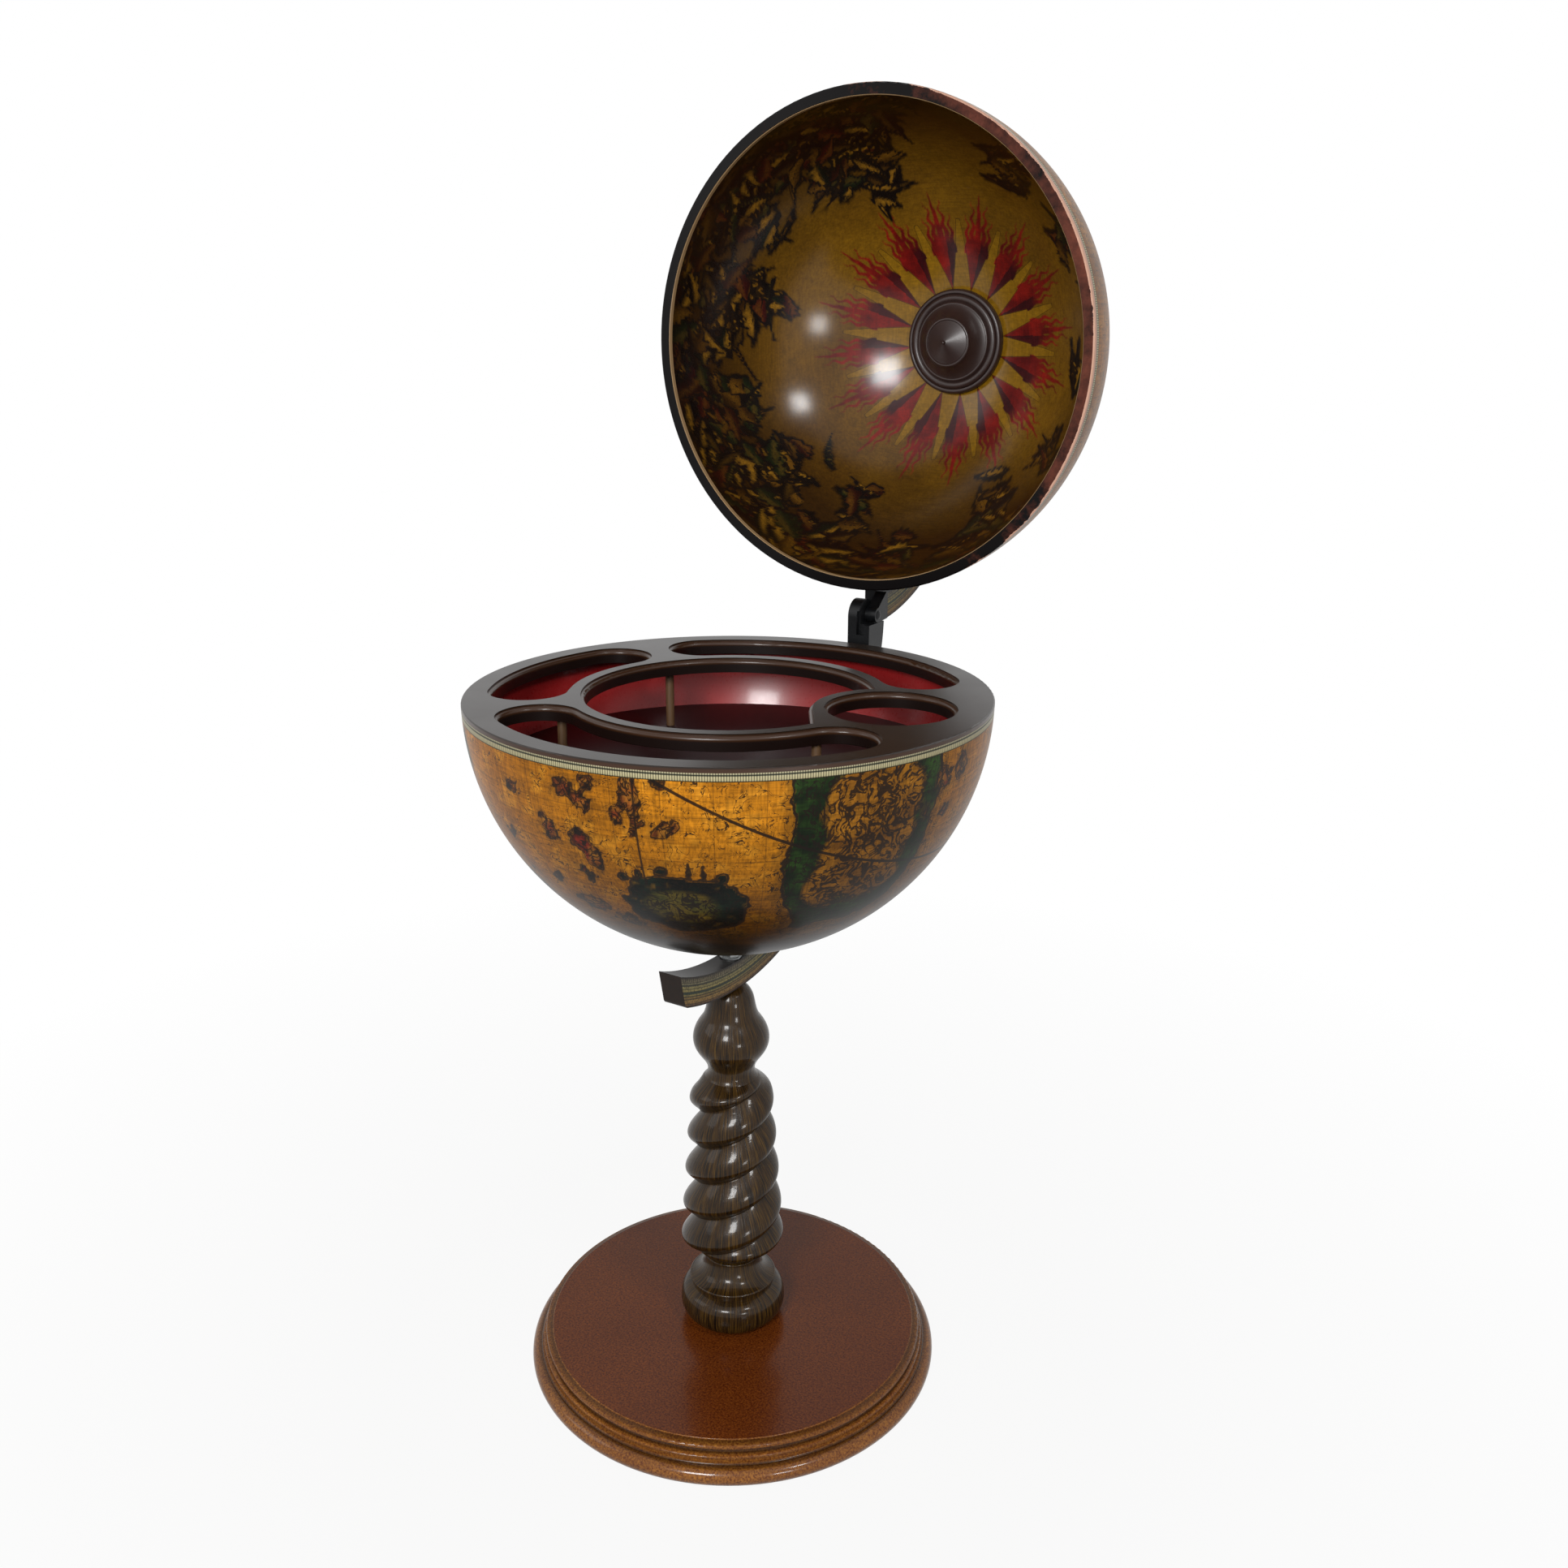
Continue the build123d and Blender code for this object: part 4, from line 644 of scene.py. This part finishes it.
lining, _ = turned_shell("bowl_lining", profile, 320, bowl_centre, bowl_pole, right)
lining.data.materials.append(material)
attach(lining, "bowl")
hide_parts("bowl_shell")

# Pole blocks: turned discs of poplar, glued inside each pole to hold its bush and left bare.  The
# wood is pale, its grain fine and drawn out one way.
material, tree, shader, place = new_finish("raw_poplar")
along = add(tree, "Mapping", {}, {"Vector": place, "Scale": (0.08, 1.0, 1.0)})
grain = add(tree, "TexNoise", {}, {"Vector": along, "Scale": 1000 / 1.6, "Detail": 4.0})
shade = add(tree, "Mix", rgba, {"Factor": grain, "A": "#8d6a42", "B": "#b8946a"})
bump = add(tree, "Bump", {}, {"Height": grain, "Strength": 0.2, "Distance": 0.0002})
add(tree, shader, {}, {"Base Color": shade, "Roughness": 0.7, "Normal": bump})
coat(material, "bowl_pole_block", "lid_pole_block")

# Tray: a board routed for its openings, each with a bead at its edge, set into the bowl's mouth.
# It is stained dark and lacquered satin; the beads are paler brown, as wear and as painted
# highlight, and the walls under them are painted near black as shade inside the openings.
tray_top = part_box("bottle_tray")[1].z
material, tree, shader, place = new_finish("dark_stained_wood_lacquered")
along = add(tree, "Mapping", {}, {"Vector": place, "Scale": (1.0, 0.06, 1.0)})
grain = add(tree, "TexNoise", {}, {
    "Vector": along, "Scale": 1000 / 1.8, "Detail": 4.0, "Roughness": 0.6})
cloud = add(tree, "TexNoise", {}, {"Vector": place, "Scale": 1000 / 60, "Detail": 3.0})
shade = add(tree, "Mix", rgba, {"Factor": grain, "A": "#0b0604", "B": "#1f130a"})
height = add(tree, "SeparateXYZ", {}, {0: place}).outputs["Z"]
# by depth under the top: the beads paler brown (wear and painted highlight), the walls below them
# near black (painted shade)
for start, end, share, code in ((0.0004, 0.0014, 0.7, "#38200f"),
                                (0.0042, 0.0054, 0.95, "#0d0605")):
    depth = add(tree, "MapRange", {}, {
        "Value": height, "From Min": tray_top - start, "From Max": tray_top - end, "To Max": share})
    shade = add(tree, "Mix", rgba, {"Factor": depth, "A": shade, "B": code})
rough = add(tree, "MapRange", {}, {"Value": cloud, "To Min": 0.26, "To Max": 0.38})
bump = add(tree, "Bump", {}, {"Height": grain, "Strength": 0.08, "Distance": 0.0002})
add(tree, shader, {}, {
    "Base Color": shade, "Roughness": rough, "Specular IOR Level": 0.26, "Coat Weight": 0.1,
    "Coat Roughness": 0.15, "Normal": bump})
coat(material, "bottle_tray")

# Bottle floor and posts: a thin disc of board, stained very dark red, hung from the tray on three
# plain dowels of pale wood.
for name, node, drawn, size, dark, light, settings in (
        ("maroon_stained_board", "bottle_floor", (1.0, 0.07, 1.0), 2, "#0e0304", "#200608",
         {"Roughness": 0.35, "Specular IOR Level": 0.14}),
        ("ramin_dowel", "tray_posts", (1.0, 1.0, 0.06), 0.9, "#3a2a1a", "#64492e",
         {"Roughness": 0.5})):
    material, tree, shader, place = new_finish(name)
    along = add(tree, "Mapping", {}, {"Vector": place, "Scale": drawn})
    grain = add(tree, "TexNoise", {}, {"Vector": along, "Scale": 1000 / size, "Detail": 4.0})
    shade = add(tree, "Mix", rgba, {"Factor": grain, "A": dark, "B": light})
    add(tree, shader, {}, {"Base Color": shade, **settings})
    coat(material, node)

# Lid rim: a flat ring of wood glued in the lid's mouth and stained nearly black.  Toward the lamps,
# at the right and top, it is painted red as a sheen mixed with rubbing, and its outer corner there
# pale, as painted glints and wear; the inner one is a thin pale line.
def off_axis(tree, out):
    """The distance from the lid's axis of a place out from its centre: the length of out x pole."""
    out = add(tree, "VectorMath", "CROSS_PRODUCT", {0: out, 1: tuple(lid_pole)})
    return add(tree, "VectorMath", "LENGTH", {0: out}).outputs["Value"]


inner_line, least_worn, most_worn = 0.1910, 0.2003, 0.1984    # radii, in metres
material, tree, shader, place = new_finish("black_stained_rim")
out = add(tree, "VectorMath", "SUBTRACT", {0: place, 1: tuple(lid_centre)})
radius = off_axis(tree, out)
rub = add(tree, "TexNoise", {}, {
    "Vector": place, "Scale": 1000 / 35, "Detail": 6.0, "Roughness": 0.7})
# painted sheen: the value grows toward the right and top, where the lamps are, and noise adds
# rubbing
lamp_side = add(tree, "VectorMath", "DOT_PRODUCT", {0: out, 1: (1.1, 0.0, 0.45)})
rub = add(tree, "Math", "ADD", {0: lamp_side.outputs["Value"], 1: rub})
shade = add(tree, "ValToRGB", {}, {0: rub})
fill(shade, ((0.60, "#050303"), (0.86, "#5c3024")))
# painted glints with wear: the outer corner turns pale where that sheen-and-rubbing value is high
worn = add(tree, "MapRange", {}, {
    "Value": rub, "From Min": 0.5, "From Max": 0.75, "To Min": least_worn, "To Max": most_worn})
worn = add(tree, "Math", "GREATER_THAN", {0: radius, 1: worn})
shade = add(tree, "Mix", rgba, {"Factor": worn, "A": shade, "B": "#b48c78"})
line = add(tree, "Math", "LESS_THAN", {0: radius, 1: inner_line})
shade = add(tree, "Mix", rgba, {"Factor": line, "A": shade, "B": "#8a7050"})
bump = add(tree, "Bump", {}, {"Height": rub, "Strength": 0.1, "Distance": 0.0005})
add(tree, shader, {}, {
    "Base Color": shade, "Roughness": 0.3, "Specular IOR Level": 0.12, "Normal": bump})
coat(material, "lid_rim")

# Boss: a disc of wood turned with beads, fixed at the lid's pole over its nut.  It is stained a
# dull mauve-brown and polished on the lathe, whose cutter left fine rings.
material, tree, shader, place = new_finish("polished_boss_wood")
out = add(tree, "VectorMath", "SUBTRACT", {0: place, 1: tuple(lid_centre)})
rings = add(tree, "TexNoise", {"noise_dimensions": "1D"}, {
    "W": off_axis(tree, out), "Scale": 1000 / 1.2, "Detail": 3.0})
cloud = add(tree, "TexNoise", {}, {"Vector": place, "Scale": 1000 / 16, "Detail": 4.0})
shade = add(tree, "Mix", rgba, {"Factor": cloud, "A": "#211412", "B": "#372622"})
bump = add(tree, "Bump", {}, {"Height": rings, "Strength": 0.1, "Distance": 0.0003})
add(tree, shader, {}, {
    "Base Color": shade, "Roughness": 0.42, "Specular IOR Level": 0.35, "Coat Weight": 0.3,
    "Coat Roughness": 0.25, "Normal": bump})
coat(material, "lid_boss")

# Lid lining: the lid's shell, papered inside with a printed sky.  A sun of sixteen flames and
# sixteen gold rays stands round the boss, and dark scrolling leaves grow in from the rim.
boss_edge = 47.0    # millimetres along the sphere from the pole, where the sun begins
step = 22.5         # degrees from one flame to the next


def sun(r, phi):
    """Distances in millimetres inside the flames and the gold rays, for r along the sphere from the
    pole and the angle phi, and t, the distance to the side of the flame's middle.  A flame is a
    widening wedge that splits into five tongues: the middle one nearly straight, and the rest wavy.
    A ray narrows evenly to a blunt end."""
    wide = inside * np.sin(r / inside)
    t = wide * np.radians((phi - 16.0 + step / 2) % step - step / 2)
    flame = np.minimum(11.4 * (r - boss_edge) / 38 - np.abs(t), 90 - 0.5 * np.abs(t) - r)
    for offset, start, tip, thick in ((0.0, 70, 140, 4.6), (4.9, 80, 131, 3.4),
                                      (-4.9, 80, 131, 3.4), (9.0, 80, 117, 2.8),
                                      (-9.0, 80, 117, 2.8)):
        share = (r - start) / (tip - start)
        side = np.sign(offset) or 0.2
        wave = (0.4 + 1.5 * share) * np.sin((r - start) * 2 * np.pi / 15) * side
        bend = offset * (1.0 + 0.35 * share)
        tongue = thick * np.clip(1 - share, 0, 1) ** 0.8 - np.abs(t - bend - wave)
        flame = np.maximum(flame, np.where((share > 0) & (share < 1), tongue, -9))
    s = wide * np.radians((phi - 4.75 + step / 2) % step - step / 2)
    ray = np.minimum(9.0 - 6.8 * (r - boss_edge) / 62 - np.abs(s), 112 - r)
    return flame, ray, t


def leaf(x, y, base, heading, length, width, curl, lobes):
    """Distance inside a lobed leaf, its place across from -1 to 1 and its place along from 0 to 1.
    Its midrib is y = curl * x^2 / length from the base, and its half width is
    width * sin(pi * s^0.7) * (0.8 + 0.2 * cos(2 * pi * lobes * s))."""
    c, s = np.cos(heading), np.sin(heading)
    u = c * (x - base[0]) + s * (y - base[1])
    v = c * (y - base[1]) - s * (x - base[0]) - curl * u * np.abs(u) / length
    share = np.clip(u / length, 0, 1)
    half = width * np.sin(np.pi * share ** 0.7) * (0.8 + 0.2 * np.cos(2 * np.pi * lobes * share))
    depth = np.minimum(half - np.abs(v), np.minimum(u, length - u))
    return depth, v / np.maximum(half, 1e-3), share


# rings of points along the sphere from the pole: close together under the sun's fine tongues
ring_places = np.r_[np.linspace(bore * 1000, 40, 4), np.linspace(44, 131, 80),
                    np.linspace(133.4, 303.4, 71)]
hollow = np.c_[inside * np.sin(ring_places / inside), inside * np.cos(ring_places / inside)] / 1000
profile = np.r_[hollow, arc(shell_outer, 88.7, 4.6, 12), [(flat, flat_height), (bore, flat_height)]]
lining, points = turned_shell("lid_lining", profile, 560, lid_centre, lid_pole, right)
own = (points - lid_centre) * 1000
down = np.cross(lid_pole, right)
phi = np.degrees(np.arctan2(own @ down, own @ right))
r = inside * np.arccos(np.clip(own @ lid_pole / np.linalg.norm(own, axis=1), -1, 1))
flame, ray, t = sun(r, phi)
fine, clouds = wander(own, 12, 41), wander(own, 60, 42)
colour = blend("#8e6412", "#6a4609", 0.5 + 0.9 * clouds)
# painted shade: the sky darkens toward the rim and toward the lid's lower side
colour = blend(colour, "#3c2406", (r - 150) / 110 + 0.5 * np.clip(own @ down / 130, 0, 1))
gold = 0.9 * np.clip(ray / 0.8 + 0.5, 0, 1) * np.clip((118 - r) / 16, 0, 1)
colour = blend(colour, "#a27614", gold)
heart = blend("#9a1c14", "#6a1010", 0.5 + 1.2 * fine)
shadow = (t > 0.08 * (r - boss_edge)) * np.clip((98 - r) / 12, 0, 0.8)
heart = blend(heart, "#260a12", shadow)
colour = blend(colour, heart, flame / 0.9 + 0.5)

# leaves in a stereographic plan of the sky, 2R tan(angle / 2) from the pole, so that they keep
# their shape; each later leaf covers those under it
plan, rim = 2 * inside, 308.0
from_pole = plan * np.tan(np.clip(r, 0, rim) / plan)
x, y = from_pole * np.cos(np.radians(phi)), from_pole * np.sin(np.radians(phi))
tints = ("#0e0705", "#160c07", "#241208", "#3a1408", "#4a0f0c", "#141c0e", "#1f2a12", "#4c2e0a",
         "#6d4710", "#0b0605")
# clumps: the angle of each at the rim, its half width there in degrees, and its reach from the rim
clumps = ((247, 30, 166), (216, 12, 120), (190, 18, 158), (163, 13, 128), (139, 15, 166),
          (114, 14, 150), (92, 12, 110), (64, 18, 168), (36, 12, 150), (8, 11, 168), (346, 9, 140),
          (326, 13, 168), (299, 13, 156))
random = np.random.default_rng(5)
sprays = []
for middle, half_width, reach in clumps:
    for number in range(int(half_width * reach / 32)):
        off, share = random.uniform(-1, 1), random.uniform(0, 1) ** 1.3
        angle = np.radians(middle + off * half_width * (1 - 0.55 * share))
        place = plan * np.tan((rim - share * reach * (1 - 0.5 * off ** 2)) / plan)
        grow = (1 + (place / plan) ** 2) * (1.15 - 0.45 * share)
        length, width = grow * random.uniform(26, 50), grow * random.uniform(8, 15)
        if number % 5 == 0:    # a long thin blade among the broad leaves
            length, width = length * 1.4, width * 0.4
        heading = angle + random.choice((-1, 1)) * random.uniform(1.1, 2.6)
        base = (place * np.cos(angle) - 0.5 * length * np.cos(heading),
                place * np.sin(angle) - 0.5 * length * np.sin(heading))
        sprays.append((share + random.uniform(-0.35, 0.35),
                       (base, heading, length, width, random.uniform(-0.8, 0.8),
                        random.integers(2, 6)), random.integers(0, 10)))


def near_leaf(shape):
    """Where the points are that a leaf may cover, and what leaf() says of them."""
    base, length = shape[0], shape[2]
    near = np.hypot(x - base[0], y - base[1]) < length * 1.35
    return near, leaf(x[near], y[near], *shape)


covered = np.full(len(x), -30.0)
for _, shape, _ in sprays:
    near, (depth, _, _) = near_leaf(shape)
    covered[near] = np.maximum(covered[near], depth)
colour = blend(colour, "#0f0703", 0.94 * np.clip((covered + 4 + 4 * fine) / 2, 0, 1))
outline = np.full(len(x), 30.0)
for _, shape, tint in sorted(sprays, key=lambda spray: spray[0]):
    near, (depth, side, share) = near_leaf(shape)
    under, lines = colour[near], outline[near]
    light = np.clip(1.4 - np.abs(side - 0.4) / 0.4, 0, 1) * np.clip(4 * share * (1 - share), 0, 1)
    shade = blend(tints[tint], "#b07c20", light * (0.2 + 0.75 * (tint % 4 == 1)))
    shade = blend(shade, "#080403", 0.8 * np.clip(-side, 0, 1))
    colour[near] = blend(under, shade, depth / 1.2 + 0.5)
    lines = np.where(depth > 0, depth, np.minimum(lines, -depth))
    vein = np.abs(side) * shape[3] * 0.8 + 0.5
    outline[near] = np.where(depth > 1.2, np.minimum(lines, vein), lines)
# painted shade: darker still toward the rim all round
colour = colour * (1 - 0.45 * np.clip((r - 185) / 95, 0, 1))[:, None]
# 32 hairlines run out from the pole, and rings go round it every 22 mm
keep(lining, {"flame": flame, "ray": ray, "outline": outline, "covered": covered,
              "hair": np.sin(np.radians(16 * phi)) * inside / 16 * np.sin(r / inside),
              "ringed": np.sin(r * np.pi / 22) * 22 / np.pi}, colour)

material, tree, shader, place = new_finish("varnished_sky_paper")
paper, weave = aged_paper(tree, place, ((1.0, 1.0, 0.07), (0.07, 1.0, 1.0)), (0.8, 1.15), 7,
                          (1.15, 0.75))
hatch = add(tree, "TexNoise", {}, {
    "Vector": place, "Scale": 1000 / 6, "Detail": 4.0, "Roughness": 0.65, "Distortion": 1.5})
hatch = add(tree, "MapRange", {}, {
    "Value": off_middle(tree, hatch), "From Min": 0.02, "From Max": 0.05, "To Min": 0.65,
    "To Max": 0.0})
leafy = add(tree, "Attribute", {"attribute_name": "covered"}).outputs["Fac"]
leafy = add(tree, "MapRange", {}, {"Value": leafy, "From Min": -2.5, "From Max": 0.5})
ink = add(tree, "Math", "MULTIPLY", {0: hatch, 1: leafy})
shake = add(tree, "TexNoise", {}, {"Vector": place, "Scale": 1000 / 3, "Detail": 2.0})
shake = add(tree, "MapRange", {}, {"Value": shake, "To Min": -0.8, "To Max": 0.8})
ink = ink_lines(tree, ink, shake, 0.2, 0.3, (
    ("ray", 0.35, 0.75, 0.1), ("flame", 0.2, 0.4, 0.1), ("outline", 1.4, 0.95, 0.8),
    ("hair", 0.25, 0.3, 0.0), ("ringed", 0.22, 0.22, 0.0)))
inked = add(tree, "Mix", rgba, {"Factor": ink, "A": paper, "B": "#100a08"})
bump = add(tree, "Bump", {}, {"Height": weave, "Strength": 0.08, "Distance": 0.0003})
add(tree, shader, {}, {
    "Base Color": inked, "Roughness": 0.36, "Specular IOR Level": 0.04, "Coat Weight": 0.54,
    "Coat Roughness": 0.17, "Normal": bump})
lining.data.materials.append(material)
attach(lining, "lid")
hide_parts("lid_shell")
